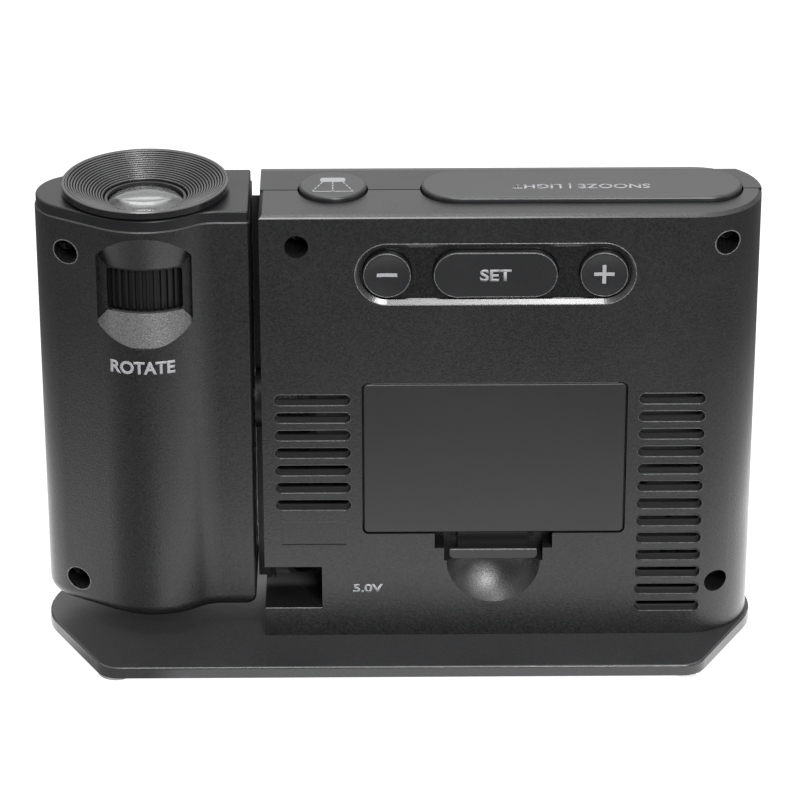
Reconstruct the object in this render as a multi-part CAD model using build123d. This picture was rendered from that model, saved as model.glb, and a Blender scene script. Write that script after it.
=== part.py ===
from build123d import *
import math
import os

# Projection alarm clock with a tilting projector arm, in millimetres.
# The display looks along -Y and the buttons and battery cover are on the +Y side.
# The origin is on the table, under the middle of the base plate.

os.makedirs("parts", exist_ok=True)

# Walls and clearances
wall = 2.0
tub_wall = 1.4
gap = 0.3
slide_gap = 0.35
hinge_gap = 0.15
seam_gap = 0.15
seam_groove_width = 0.4
seam_groove_depth = 0.3
beyond = 100.0

# Base plate and feet
plate_half_width = 85.9
plate_half_depth = 30.4
plate_thickness = 2.8
plate_slant = 29.0
plate_side_radius = 17.0
plate_corner_radius = 6.0
plate_edge_round = 0.6
foot_drop = 1.2
foot_radius = 4.5
foot_recess = 0.8
foot_inset_x = 19.5
foot_inset_y = 5.5
plate_screw_x0 = -52.0
plate_screw_x1 = 8.0
plate_screw_y = 8.4
plate_boss_height = 9.5

# Main body
body_side_x = 31.7
body_end_x = -82.45
body_half_depth = 15.2
body_height = 107.3
body_edge_chamfer = 0.8
bezel_depth = 3.9
bezel_round = 3.4
lip_depth = 1.2
lip_inset = 1.1
side_rib_z0 = 12.0
side_rib_z1 = 110.0
side_rib_depth = 11.0
side_rib_drop = 5.5

# Display in the front
window_width = 83.0
window_height = 72.0
window_center_z = 56.5
window_thickness = 2.0
window_ledge = 2.0
window_corner = 4.0
panel_thickness = 2.8
panel_margin = 2.5
backlight_thickness = 3.4
board_thickness = 1.6
board_x0 = -70.0
board_x1 = 19.5
board_post_inset = 5.5
board_post_radius = 2.7
board_screw_length = 5.5
chip_x = -8.0
chip_z = 74.0
chip_width = 14.0
chip_height = 10.0
chip_thickness = 1.6

# Rear buttons in their long recess
recess_center_x = -21.6
recess_center_z = 96.8
recess_length = 63.6
recess_height = 15.1
recess_depth = 1.2
recess_bevel = 1.2
recess_floor = 1.6
round_button_diameter = 11.0
round_button_offset = 24.5
set_button_length = 28.2
set_button_height = 11.2
button_gap = 0.2
button_proud = 0.6
button_flange = 0.9
button_flange_thickness = 1.4
button_travel = 0.8
button_edge_round = 0.4
round_button_dish = 0.5
mat_thickness = 0.8
mat_dome_radius = 2.0
mat_dome_height = 0.9
button_board_margin = 2.0
button_board_drop = 8.0
button_board_rise = 5.0
board_rib_offset = 24.0
board_rib_half = 1.5
board_rib_low = 6.0
board_rib_high = 2.0

# Top buttons
projector_button_x = 15.1
projector_button_diameter = 15.4
snooze_center_x = -41.5
snooze_length = 72.9
snooze_width = 16.4
top_button_proud = 1.3
top_button_flange = 1.0
top_button_flange_thickness = 1.4
top_button_travel = 1.0
switch_size = 6.0
switch_height = 2.2
switch_gap = 0.35
switch_plunger_radius = 1.7
switch_plunger_height = 0.9
snooze_switch_offset = 22.0
top_board_depth = 7.0
top_board_ribs = [-58.0, -25.0, 2.0]
top_board_rib_half = 1.0
top_board_rib_height = 3.0

# Battery bay, its cover and latch
cover_height = 38.85
cover_center_x = -21.7
cover_bottom_z = 30.8
cover_thickness = 2.0
cover_corner = 1.5
cover_ledge = 3.2
cell_diameter = 14.2
cell_length = 50.2
cell_tip_radius = 2.75
cell_tip_length = 1.2
cell_spacing = 15.2
contact_thickness = 0.5
contact_half = 5.0
contact_reach = 3.3
contact_pad_radius = 2.5
spring_end_radius = 2.6
latch_width = 20.4
latch_thickness = 1.2
latch_neck_inset = 2.0
latch_depth = 5.8
latch_rise = 0.5
latch_lip_bottom = 24.1
latch_lip_top = 26.4
latch_lip_depth = 1.4
latch_lip_set_back = 0.4
latch_notch_width = 27.4
latch_notch_bottom = 27.0
latch_slot_width = 23.0
latch_slot_bottom = 23.7
latch_pocket_depth = 6.5
scoop_radius = 10.9
scoop_depth = 5.6
hook_width = 6.0
hook_offset = 18.0
hook_depth = 1.4
hook_rise = 1.5

# Vents, label place and supply socket
vent_pitch = 4.5
vent_height = 2.8
vent_top_z = 65.5
left_vent_count = 7
left_vent_x = 20.15
left_vent_width = 17.7
right_vent_count = 13
right_vent_x = -62.4
right_vent_width = 15.4
label_x = 20.0
label_z = 30.9
label_width = 15.1
label_height = 6.1
label_depth = 0.25
socket_x0 = 18.3
socket_z0 = 11.3
socket_z1 = 22.2
socket_depth = 17.5
jack_x = 23.25
jack_rise = 2.9
jack_half_width = 4.6
jack_half_height = 3.6
jack_length = 5.2
jack_wall = 1.5
jack_radius = 3.9
jack_bore = 2.75
jack_pin = 0.65
jack_pin_set_back = 1.0

# Projector arm
arm_axis_x = 57.7
arm_side_x = 33.8
arm_bulge_radius = 18.2
arm_half_flat = 12.7
arm_end_x = 72.6
arm_end_radius = 10.35
arm_blend_radius = 8.0
arm_corner_radius = 0.8
arm_lift = 6.0
arm_bottom_round = 3.4
arm_top_chamfer = 0.3
cap_height = 2.6
cap_inset = 0.3
cap_round = 0.5
cap_hole_radius = 16.8

# Focus ring and lens
ring_radius = 19.0
ring_lift = 1.0
ring_band = 1.6
ring_rim = 0.7
ring_neck_radius = 16.4
funnel_bottom_radius = 9.6
funnel_depth = 3.9
funnel_skin = 0.6
funnel_wall = 1.5
funnel_ribs = 14
funnel_rib_depth = 0.32
ring_grooves = 5
ring_groove_depth = 0.18
ring_tube_length = 5.0
barrel_wall = 0.6
barrel_rim = 0.6
barrel_height = 8.2
lens_thickness = 1.2
lens_bulge = 1.7
lens_travel = 1.0
mount_thickness = 1.6

# Rotate wheel behind its window
wheel_center_z = 93.0
wheel_height = 10.5
wheel_rib_count = 56
wheel_rib_depth = 0.8
wheel_groove_share = 0.7
wheel_groove_taper = 0.65
wheel_wall = 2.2
wheel_web = 1.4
wheel_window_width = 17.1
wheel_window_height = 10.5
wheel_window_corner = 1.2
wheel_recess_z = 93.4
wheel_recess_radius = 13.6
wheel_recess_half_width = 10.8
recess_floor_radius = 15.7
sleeve_radius = 14.9
sleeve_bottom_z = 78.5
sleeve_top_z = 106.5
image_size = 13.0
image_thickness = 1.2

# Lamp under the wheel
lamp_tube_radius = 9.6
lamp_tube_wall = 1.4
lamp_tube_bottom_z = 66.0
condenser_radius = 8.2
condenser_height = 4.0
lamp_board_radius = 11.5
lamp_radius = 2.5
lamp_height = 5.0

# Arm hinge
hinge_z = 59.0
axle_radius = 4.0
axle_bore = 2.4
axle_flange_radius = 7.5
axle_flange_thickness = 2.0
bearing_wall = 1.8
bearing_length = 6.0
clip_thickness = 1.0
clip_radius = 6.2
clip_bite = 0.7
clip_mouth_half = 1.8
washer_radius = 7.0

# Screws
screw_hole_radius = 2.7
screw_head_radius = 2.3
screw_head_height = 1.6
screw_radius = 1.1
boss_wall = 0.9
boss_seat = 1.6
screw_seat_y = 5.2
left_screw_x = 23.3
right_screw_x = -73.9
upper_screw_z = 103.7
lower_screw_z = 17.2
arm_screw_x = 75.5
arm_upper_screw_z = 100.75
arm_lower_screw_z = 17.0
arm_screw_seat_y = 3.2
arm_screw_bite = 4.0
cross_slot = 0.7

# Radio antenna and sounder
rod_radius = 4.0
rod_length = 58.0
rod_center_x = -24.0
rod_z = 17.0
coil_radius = 5.2
coil_length = 22.0
saddle_width = 4.0
sounder_radius = 9.5
sounder_height = 4.0
sounder_hole_radius = 1.5
sounder_x = -63.5
sounder_z = 28.5

# Worked out from the values above
floor_z = foot_drop + plate_thickness
top_z = floor_z + body_height
plate_boss_top = floor_z + plate_boss_height
rear_y = body_half_depth
front_y = -body_half_depth
bezel_y = front_y + bezel_depth
end_center_x = body_end_x + body_half_depth
clip_x = body_side_x - wall - bearing_length - gap - clip_thickness
panel_end_x = clip_x - 3 * gap
window_center_x = panel_end_x - panel_margin - window_width / 2
panel_y = bezel_y
backlight_y = panel_y + panel_thickness
board_y = backlight_y + backlight_thickness
board_back_y = board_y + board_thickness
socket_y = rear_y - socket_depth
jack_z = socket_z0 + jack_rise
cover_width = cell_length + 2 * (contact_reach + contact_thickness) + cover_ledge
cover_y = rear_y - cover_thickness
cover_top_z = cover_bottom_z + cover_height
cover_center_z = cover_bottom_z + cover_height / 2
latch_y = rear_y - latch_depth
cell_y = cover_y - gap - cell_diameter / 2
tub_floor_y = cell_y - cell_diameter / 2 - gap
arm_bottom_z = floor_z + arm_lift
cap_z = top_z - cap_height
arm_inner_radius = arm_bulge_radius - wall
wheel_radius = sleeve_radius - gap
groove_radius = arm_inner_radius - gap
wheel_bottom_z = wheel_center_z - wheel_height / 2
wheel_top_z = wheel_center_z + wheel_height / 2
ring_bottom_z = top_z + ring_lift
ring_top_z = ring_bottom_z + ring_band
funnel_bottom_z = ring_top_z - funnel_depth
mount_z = wheel_top_z + 3.7
housing_z = wheel_bottom_z - 7.7
recess_y = rear_y - recess_depth
recess_inner_y = recess_y - recess_floor
flange_y = recess_inner_y - gap - button_flange_thickness
mat_top_y = flange_y - button_travel - gap
mat_y = mat_top_y - mat_dome_height - mat_thickness
switch_board_y = mat_y - board_thickness
top_inner_z = top_z - wall
top_flange_z = top_inner_z - gap - top_button_flange_thickness
switch_top_z = top_flange_z - top_button_travel - switch_gap
top_board_z = switch_top_z - switch_height - board_thickness


def block(x0, x1, y0, y1, z0, z1):
    """A box between its lowest and highest corners."""
    size = Box(x1 - x0, y1 - y0, z1 - z0)
    return Pos((x0 + x1) / 2, (y0 + y1) / 2, (z0 + z1) / 2) * size


def rod_z_axis(x, y, z0, z1, radius):
    """A cylinder that stands along Z."""
    return Pos(x, y, (z0 + z1) / 2) * Cylinder(radius, z1 - z0)


def rod_y_axis(x, y0, y1, z, radius):
    """A cylinder that lies along Y."""
    return Pos(x, (y0 + y1) / 2, z) * Rot(90, 0, 0) * Cylinder(radius, y1 - y0)


def rod_x_axis(x0, x1, y, z, radius):
    """A cylinder that lies along X."""
    return Pos((x0 + x1) / 2, y, z) * Rot(0, 90, 0) * Cylinder(radius, x1 - x0)


def long_slot_y(x, z, length, height, y0, y1):
    """A long round-ended block that faces the rear."""
    outline = Plane.XZ.offset(-y0) * Pos(x, z) * SlotOverall(length, height)
    return extrude(outline, amount=-(y1 - y0))


def long_slot_z(x, y, length, width, z0, z1):
    """A long round-ended block that faces up."""
    outline = Pos(x, y, z0) * SlotOverall(length, width)
    return extrude(outline, amount=z1 - z0)


def rounded_plate_y(x, z, width, height, radius, y0, y1):
    """A plate with round corners that faces the rear."""
    outline = Plane.XZ.offset(-y0) * Pos(x, z) * RectangleRounded(width, height, radius)
    return extrude(outline, amount=-(y1 - y0))


def turned(points, x, y):
    """A solid of revolution about a Z axis, from (radius, height) points."""
    profile = make_face(Polyline(*[(r, 0, z) for r, z in points], close=True))
    return Pos(x, y, 0) * revolve(profile, Axis.Z)


def write(name, shape):
    """Write one node as a STEP file, with all its solids."""
    solids = shape.solids()
    kept = solids[0] if len(solids) == 1 else Compound(solids)
    kept.label = name
    export_step(kept, "parts/" + name + ".step")


# Base plate: a long hexagon with round corners, widest in the middle of its depth
def plate_outline():
    corner_x = plate_half_width - plate_half_depth * math.tan(math.radians(plate_slant))
    half = [
        (corner_x, plate_half_depth),
        (plate_half_width, 0),
        (corner_x, -plate_half_depth),
    ]
    points = half + [(-x, y) for x, y in reversed(half)]
    face = make_face(Polyline(*points, close=True))
    corners = [v for v in face.vertices() if abs(v.Y) > 1]
    face = fillet(corners, plate_corner_radius)
    ends = [v for v in face.vertices() if abs(v.Y) < 0.001]
    return fillet(ends, plate_side_radius)


foot_x = plate_half_width - foot_inset_x
foot_y = plate_half_depth - foot_inset_y
foot_places = [(sx * foot_x, sy * foot_y) for sx in (-1, 1) for sy in (-1, 1)]
plate_screw_places = [
    (x, side * plate_screw_y) for x in (plate_screw_x0, plate_screw_x1) for side in (-1, 1)
]


def base_plate():
    plate = extrude(Pos(0, 0, foot_drop) * plate_outline(), amount=plate_thickness)
    plate = fillet(plate.faces().sort_by(Axis.Z)[-1].edges(), plate_edge_round)
    for x, y in foot_places:
        plate -= rod_z_axis(x, y, foot_drop, foot_drop + foot_recess, foot_radius)
    for x, y in plate_screw_places:
        plate -= rod_z_axis(x, y, foot_drop, floor_z, screw_radius)
        head_top = foot_drop + screw_head_height
        plate -= rod_z_axis(x, y, foot_drop, head_top, screw_head_radius)
    return plate


def base_feet():
    feet = []
    for x, y in foot_places:
        foot = rod_z_axis(x, y, 0, foot_drop + foot_recess, foot_radius)
        feet.append(fillet(foot.edges().sort_by(Axis.Z)[0], foot_drop / 3))
    return Compound(feet)


def screw(length):
    """A pan-head screw that points along -Z, with its head's seat at the origin."""
    shank = rod_z_axis(0, 0, -length, 0, screw_radius)
    head = rod_z_axis(0, 0, 0, screw_head_height, screw_head_radius)
    head = fillet(head.edges().sort_by(Axis.Z)[-1], screw_head_height / 3)
    depth = screw_head_height / 2
    for turn in (0, 90):
        arm = Box(screw_head_radius * 1.2, cross_slot, depth)
        head -= Pos(0, 0, screw_head_height - depth / 2) * Rot(0, 0, turn) * arm
    return shank + head


def base_screws():
    seat = foot_drop + screw_head_height
    length = plate_boss_top - 1.0 - seat
    parts = []
    for x, y in plate_screw_places:
        part = Pos(x, y, seat) * Rot(180, 0, 0) * screw(length)
        parts.append(part)
    return Compound(parts)


# Body: one straight side beside the arm and one half-round end
def body_block(inset, y0, y1):
    """The body's outside, drawn in by inset, between two depths."""
    radius = body_half_depth - inset
    straight = block(
        end_center_x, body_side_x - inset, -radius, radius, floor_z + inset, top_z - inset
    )
    end = rod_z_axis(end_center_x, 0, floor_z + inset, top_z - inset, radius)
    cut = block(body_end_x - 1, body_side_x + 1, y0, y1, floor_z - 1, top_z + 1)
    return (straight + end) & cut


def bearing(radius, y0, y1):
    """The hinge bearing's tube or bore inside the body's side, in one half."""
    tube = rod_x_axis(body_side_x - wall - bearing_length, body_side_x, 0, hinge_z, radius)
    return tube & block(0, body_side_x, y0, y1, 0, top_z)


top_openings = [
    (projector_button_x, projector_button_diameter, projector_button_diameter),
    (snooze_center_x, snooze_length, snooze_width),
]


def cut_top_openings(shell):
    for x, length, width in top_openings:
        grown = 2 * slide_gap
        if length > width:
            cut = long_slot_z(x, 0, length + grown, width + grown, top_z - 2 * wall, top_z + 1)
        else:
            cut = rod_z_axis(x, 0, top_z - 2 * wall, top_z + 1, width / 2 + slide_gap)
        shell -= cut
    return shell


body_screws = [
    (left_screw_x, upper_screw_z),
    (right_screw_x, upper_screw_z),
    (right_screw_x, lower_screw_z),
]
boss_radius = screw_hole_radius + boss_wall
post_radius = screw_radius + 1.6


def tub_box(grow, y0, y1):
    """The battery bay's inside, grown by a wall."""
    half_x = cover_width / 2 - cover_ledge / 2 + grow
    z0 = cover_bottom_z + cover_ledge - grow
    z1 = cover_top_z - cover_ledge + grow
    return block(cover_center_x - half_x, cover_center_x + half_x, y0, y1, z0, z1)


def rear_shell():
    shell = body_block(0, 0, rear_y)
    far_edges = shell.edges().filter_by(lambda e: abs(e.center().Z - top_z) < 0.01)
    far_edges = [e for e in far_edges if e.center().Y > 1]
    shell = chamfer(far_edges, body_edge_chamfer)
    shell -= body_block(wall, -1, rear_y)
    lip = body_block(lip_inset, -lip_depth, 0) - body_block(wall, -lip_depth - 1, 1)
    lip -= bearing(axle_radius + hinge_gap + bearing_wall + seam_gap, -lip_depth, 0)
    shell += lip
    shell -= body_block(0, 0, seam_groove_width) - body_block(
        seam_groove_depth, -1, seam_groove_width + 1
    )
    # battery bay
    shell += tub_box(tub_wall, tub_floor_y - tub_wall, rear_y - 0.5)
    rim = rounded_plate_y(
        cover_center_x, cover_center_z, cover_width + 2 * tub_wall,
        cover_height + 2 * tub_wall, cover_corner + tub_wall,
        cover_y - gap - tub_wall - hook_depth - 2 * gap, rear_y - 0.5,
    )
    shell += rim
    # latch pocket below the bay
    pocket_y = rear_y - latch_pocket_depth
    half_notch = latch_notch_width / 2
    shell += block(
        cover_center_x - half_notch - tub_wall, cover_center_x + half_notch + tub_wall,
        pocket_y - tub_wall, rear_y - 0.5,
        latch_slot_bottom - tub_wall, cover_bottom_z + tub_wall,
    )
    # scoop for a fingertip
    sphere_radius = (scoop_radius**2 + scoop_depth**2) / (2 * scoop_depth)
    sphere_y = rear_y + sphere_radius - scoop_depth
    dish = Pos(cover_center_x, sphere_y, latch_slot_bottom) * Sphere(sphere_radius)
    dish_skin = Pos(cover_center_x, sphere_y, latch_slot_bottom) * Sphere(
        sphere_radius + tub_wall
    )
    scoop_span = scoop_radius + 2 * tub_wall
    scoop_zone = block(
        cover_center_x - scoop_span, cover_center_x + scoop_span,
        0, rear_y - 0.5, floor_z, latch_slot_bottom,
    )
    shell += dish_skin & scoop_zone
    # socket pocket, open to the side beside the arm, its far end inside the front half
    pocket_x1 = body_side_x - wall - seam_gap
    for x1, y0, y1 in (
        (body_side_x, 0, rear_y - 0.5), (pocket_x1, socket_y - tub_wall, 0)
    ):
        shell += block(
            socket_x0 - tub_wall, x1, y0, y1, socket_z0 - tub_wall, socket_z1 + tub_wall
        )
    # screw bosses
    for x, z in body_screws:
        boss = rod_y_axis(x, screw_seat_y - boss_seat, rear_y, z, boss_radius)
        shell += boss & body_block(0.5, 0, rear_y)
    for x, y in plate_screw_places:
        if y > 0:
            shell += rod_z_axis(x, y, floor_z, plate_boss_top, post_radius)
            shell -= rod_z_axis(x, y, floor_z, plate_boss_top, screw_radius)
    # hinge bearing half
    shell += bearing(axle_radius + hinge_gap + bearing_wall, 0, rear_y)
    shell -= bearing(axle_radius + hinge_gap, -lip_depth - 1, rear_y)
    # button recess with a bevel all round
    floor = long_slot_y(
        recess_center_x, recess_center_z, recess_length - 0.5, recess_height - 0.5,
        recess_inner_y, rear_y - 0.5,
    )
    shell += floor
    outer = Plane.XZ.offset(-rear_y) * Pos(recess_center_x, recess_center_z)
    inner = Plane.XZ.offset(-recess_y) * Pos(recess_center_x, recess_center_z)
    bevelled = loft([
        outer * SlotOverall(recess_length, recess_height),
        inner * SlotOverall(recess_length - 2 * recess_bevel, recess_height - 2 * recess_bevel),
    ])
    shell -= bevelled
    for x, length, height in rear_buttons():
        shell -= button_hole(x, length, height)
    # battery bay hollow, cover seat and hook slots
    shell -= tub_box(0, tub_floor_y, rear_y + 1)
    shell -= rounded_plate_y(
        cover_center_x, cover_center_z, cover_width, cover_height, cover_corner,
        cover_y - gap, rear_y + 1,
    )
    for side in (-1, 1):
        x = cover_center_x + side * hook_offset
        half = hook_width / 2 + gap
        shell -= block(
            x - half, x + half, cover_y - 2 * gap - hook_depth - gap, cover_y - gap,
            cover_top_z - cover_ledge - 0.5, cover_top_z + hook_rise + gap - tub_wall / 2,
        )
    # latch notch and slot
    shell -= block(
        cover_center_x - half_notch, cover_center_x + half_notch, pocket_y, rear_y + 1,
        latch_notch_bottom, cover_bottom_z + 0.5,
    )
    half_neck = latch_width / 2 - latch_neck_inset + gap
    shell -= block(
        cover_center_x - half_neck, cover_center_x + half_neck, pocket_y, rear_y,
        cover_bottom_z, cover_bottom_z + gap + latch_thickness + gap,
    )
    half_slot = latch_slot_width / 2
    shell -= block(
        cover_center_x - half_slot, cover_center_x + half_slot, pocket_y, rear_y + 1,
        latch_slot_bottom, latch_notch_bottom + 0.5,
    )
    lower_half = block(
        cover_center_x - scoop_radius, cover_center_x + scoop_radius, 0, rear_y + 1,
        floor_z, latch_slot_bottom + 0.5,
    )
    shell -= dish & lower_half
    # socket hollow and the jack's hole
    shell -= block(
        socket_x0, body_side_x + 1, socket_y, rear_y + 1, socket_z0, socket_z1
    )
    shell -= rod_y_axis(jack_x, socket_y - tub_wall, socket_y, jack_z, jack_radius)
    # vents
    for k in range(left_vent_count):
        z = vent_top_z - k * vent_pitch
        shell -= long_slot_y(left_vent_x, z, left_vent_width, vent_height, rear_y - 1.3, rear_y + 1)
        inner = left_vent_width - 1.2
        shell -= long_slot_y(left_vent_x, z + 0.3, inner, vent_height - 1.2, rear_y - 3, rear_y)
    for k in range(right_vent_count):
        z = vent_top_z - k * vent_pitch
        shell -= long_slot_y(
            right_vent_x, z, right_vent_width, vent_height, rear_y - 1.5, rear_y + 1
        )
        inner = right_vent_width - 1.2
        shell -= long_slot_y(right_vent_x, z + 0.3, inner, vent_height - 1.2, rear_y - 3, rear_y)
    # blank label place
    shell -= block(
        label_x - label_width / 2, label_x + label_width / 2, rear_y - label_depth, rear_y + 1,
        label_z - label_height / 2, label_z + label_height / 2,
    )
    # screw holes
    for x, z in body_screws:
        shell -= rod_y_axis(x, screw_seat_y, rear_y + 1, z, screw_hole_radius)
        shell -= rod_y_axis(x, 0, screw_seat_y, z, screw_radius)
    return cut_top_openings(shell)


def rear_buttons():
    """Place, length and height of the three rear buttons."""
    return [
        (recess_center_x + round_button_offset, round_button_diameter, round_button_diameter),
        (recess_center_x, set_button_length, set_button_height),
        (recess_center_x - round_button_offset, round_button_diameter, round_button_diameter),
    ]


def pill_y(x, z, length, height, y0, y1):
    """A round or long button shape that faces the rear."""
    if length > height:
        return long_slot_y(x, z, length, height, y0, y1)
    return rod_y_axis(x, y0, y1, z, height / 2)


def button_hole(x, length, height):
    grown = 2 * button_gap
    return pill_y(
        x, recess_center_z, length + grown, height + grown, recess_inner_y - 1, rear_y + 1
    )


def front_shell():
    shell = body_block(0, bezel_y, 0)
    shell -= body_block(wall, bezel_y + wall, 1)
    shell -= body_block(lip_inset - seam_gap, -lip_depth - seam_gap, 1)
    opening_x = window_width / 2 + panel_margin
    opening_z = window_height / 2 + panel_margin
    shell -= block(
        window_center_x - opening_x, window_center_x + opening_x, bezel_y, bezel_y + wall,
        window_center_z - opening_z, window_center_z + opening_z,
    )
    for x, z in body_screws:
        post = rod_y_axis(x, bezel_y, screw_seat_y - boss_seat, z, post_radius)
        shell += post & body_block(0.5, bezel_y, rear_y)
        shell -= rod_y_axis(x, bezel_y + wall, screw_seat_y, z, screw_radius)
    for x, y in plate_screw_places:
        if y < 0:
            shell += rod_z_axis(x, y, floor_z, plate_boss_top, post_radius) & body_block(
                0, bezel_y, 0
            )
            shell -= rod_z_axis(x, y, floor_z, plate_boss_top, screw_radius)
    for x, z in board_posts():
        shell += rod_y_axis(x, bezel_y + wall / 2, board_y, z, board_post_radius)
        shell -= rod_y_axis(x, bezel_y + wall, board_y, z, screw_radius)
    for x in top_board_ribs:
        shell += block(
            x - top_board_rib_half, x + top_board_rib_half, bezel_y + wall / 2, board_y - gap,
            top_board_z - top_board_rib_height, top_board_z,
        )
    shell += side_rib()
    shell += bearing(axle_radius + hinge_gap + bearing_wall, bezel_y, 0)
    shell -= bearing(axle_radius + hinge_gap, bezel_y, lip_depth)
    return cut_top_openings(shell)


def side_rib():
    """A rib that closes the view through the gap between the body and the arm."""
    corners = [
        (0, side_rib_z0),
        (0, side_rib_z1),
        (-side_rib_depth, side_rib_z1 - side_rib_drop),
        (-side_rib_depth, side_rib_z0),
    ]
    start_x = body_side_x - wall / 4
    profile = Plane.YZ.offset(start_x) * make_face(Polyline(*corners, close=True))
    rib = extrude(profile, amount=arm_side_x - gap - start_x)
    return rib - rod_x_axis(body_side_x, arm_side_x, 0, hinge_z, washer_radius + gap)


def board_posts():
    """The four places where the main board is screwed to the front shell."""
    half_z = window_height / 2 + panel_margin + board_post_radius
    return [
        (x, window_center_z + side * half_z)
        for x in (board_x0 + board_post_inset, board_x1 - board_post_inset) for side in (-1, 1)
    ]


def front_bezel():
    shape = body_block(0, front_y, bezel_y)
    rim = [
        e for e in shape.edges()
        if abs(e.center().Y - front_y) < 0.01 and e.center().Z > floor_z + 1
    ]
    shape = fillet(rim, bezel_round)
    shape -= rounded_plate_y(
        window_center_x, window_center_z, window_width, window_height, window_corner,
        front_y - 1, front_y + window_thickness,
    )
    shape -= rounded_plate_y(
        window_center_x, window_center_z, window_width - 2 * window_ledge,
        window_height - 2 * window_ledge, window_corner, front_y, bezel_y + 1,
    )
    return shape


def display_window():
    fit = seam_gap
    return rounded_plate_y(
        window_center_x, window_center_z, window_width - 2 * fit, window_height - 2 * fit,
        window_corner - fit, front_y, front_y + window_thickness,
    )


def display_block(margin, y0, y1):
    half_x = window_width / 2 + margin
    half_z = window_height / 2 + margin
    return block(
        window_center_x - half_x, window_center_x + half_x, y0, y1,
        window_center_z - half_z, window_center_z + half_z,
    )


def display_panel():
    glass = display_block(panel_margin - seam_gap, panel_y, panel_y + 1.6)
    rear_glass = display_block(panel_margin - 1.0, panel_y + 1.6, backlight_y)
    return glass + rear_glass


def display_backlight():
    frame = display_block(panel_margin - seam_gap, backlight_y, board_y)
    return frame - display_block(-2.0, backlight_y + 1.4, board_y)


def main_board():
    lowest_post_z = min(z for _, z in board_posts())
    board = block(
        board_x0, board_x1, board_y, board_back_y, lowest_post_z - board_post_radius, top_board_z
    )
    for x, z in board_posts():
        board -= rod_y_axis(x, board_y, board_back_y, z, screw_radius)
    clear = tub_wall + gap
    return board - block(
        socket_x0 - clear, board_x1, board_y, board_back_y, floor_z, socket_z1 + clear
    )


def board_screws():
    parts = []
    for x, z in board_posts():
        part = Pos(x, board_back_y, z) * Rot(-90, 0, 0) * screw(board_screw_length)
        parts.append(part)
    return Compound(parts)


def controller_chip():
    chip = block(
        chip_x, chip_x + chip_width, board_back_y, board_back_y + chip_thickness,
        chip_z, chip_z + chip_height,
    )
    return chamfer(chip.faces().sort_by(Axis.Y)[-1].edges(), chip_thickness / 4)


def rear_screws():
    parts = []
    length = screw_seat_y - bezel_y - wall - 1.0
    for x, z in body_screws:
        parts.append(Pos(x, screw_seat_y, z) * Rot(-90, 0, 0) * screw(length))
    return Compound(parts)


# Battery bay contents and cover
def cell_places():
    return [cover_center_z - cell_spacing / 2, cover_center_z + cell_spacing / 2]


cell_x0 = cover_center_x - cell_length / 2


def battery_cells():
    cells = []
    for k, z in enumerate(cell_places()):
        can = rod_x_axis(-cell_length / 2, cell_length / 2 - cell_tip_length, 0, 0, cell_diameter / 2)
        can = fillet(can.edges().filter_by(GeomType.CIRCLE), 0.6)
        tip = rod_x_axis(
            cell_length / 2 - cell_tip_length, cell_length / 2, 0, 0, cell_tip_radius
        )
        turn = 180 * k
        cells.append(Pos(cover_center_x, cell_y, z) * Rot(0, 0, turn) * (can + tip))
    return Compound(cells)


bay_x0 = cover_center_x - cover_width / 2 + cover_ledge / 2
bay_x1 = cover_center_x + cover_width / 2 - cover_ledge / 2


def contact_plate(x, z):
    """A contact plate against one end wall of the bay."""
    at_low_end = x < cover_center_x
    x0 = bay_x0 if at_low_end else bay_x1 - contact_thickness
    return block(
        x0, x0 + contact_thickness, cell_y - contact_half, cell_y + contact_half,
        z - contact_half, z + contact_half,
    )


def battery_contacts():
    """Flat plates, each one where a cell's tip presses."""
    plates = []
    low, high = cell_places()
    for x, z in ((bay_x1, low), (bay_x0, high)):
        side = 1 if x > cover_center_x else -1
        ends = sorted([
            x - side * contact_thickness, x - side * (contact_thickness + contact_reach)
        ])
        pad = rod_x_axis(*ends, cell_y, z, contact_pad_radius)
        plates.append(contact_plate(x, z) + pad)
    return Compound(plates)


def battery_springs():
    """Cone springs on their plates, each one at a cell's flat end."""
    springs = []
    low, high = cell_places()
    for side, x, z in ((-1, bay_x0, low), (1, bay_x1, high)):
        cone = Cone(contact_half, spring_end_radius, contact_reach)
        middle = x - side * (contact_thickness + contact_reach / 2)
        cone = Pos(middle, cell_y, z) * Rot(0, -90 * side, 0) * cone
        springs.append(contact_plate(x, z) + cone)
    return Compound(springs)


def battery_cover():
    fit = gap
    lid = rounded_plate_y(
        cover_center_x, cover_center_z, cover_width - 2 * fit, cover_height - 2 * fit,
        cover_corner - fit, cover_y, rear_y,
    )
    outer_edges = [e for e in lid.edges() if abs(e.center().Y - rear_y) < 0.01]
    lid = chamfer(outer_edges, 0.3)
    for side in (-1, 1):
        x = cover_center_x + side * hook_offset
        half = hook_width / 2
        z1 = cover_top_z + hook_rise - tub_wall / 2
        back = cover_y - 2 * gap
        lid += block(x - half, x + half, back - hook_depth, cover_y,
                     cover_top_z - fit - 2.0, cover_top_z - fit)
        lid += block(x - half, x + half, back - hook_depth, back,
                     cover_top_z - fit - 2.0, z1)
    return lid + latch()


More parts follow.
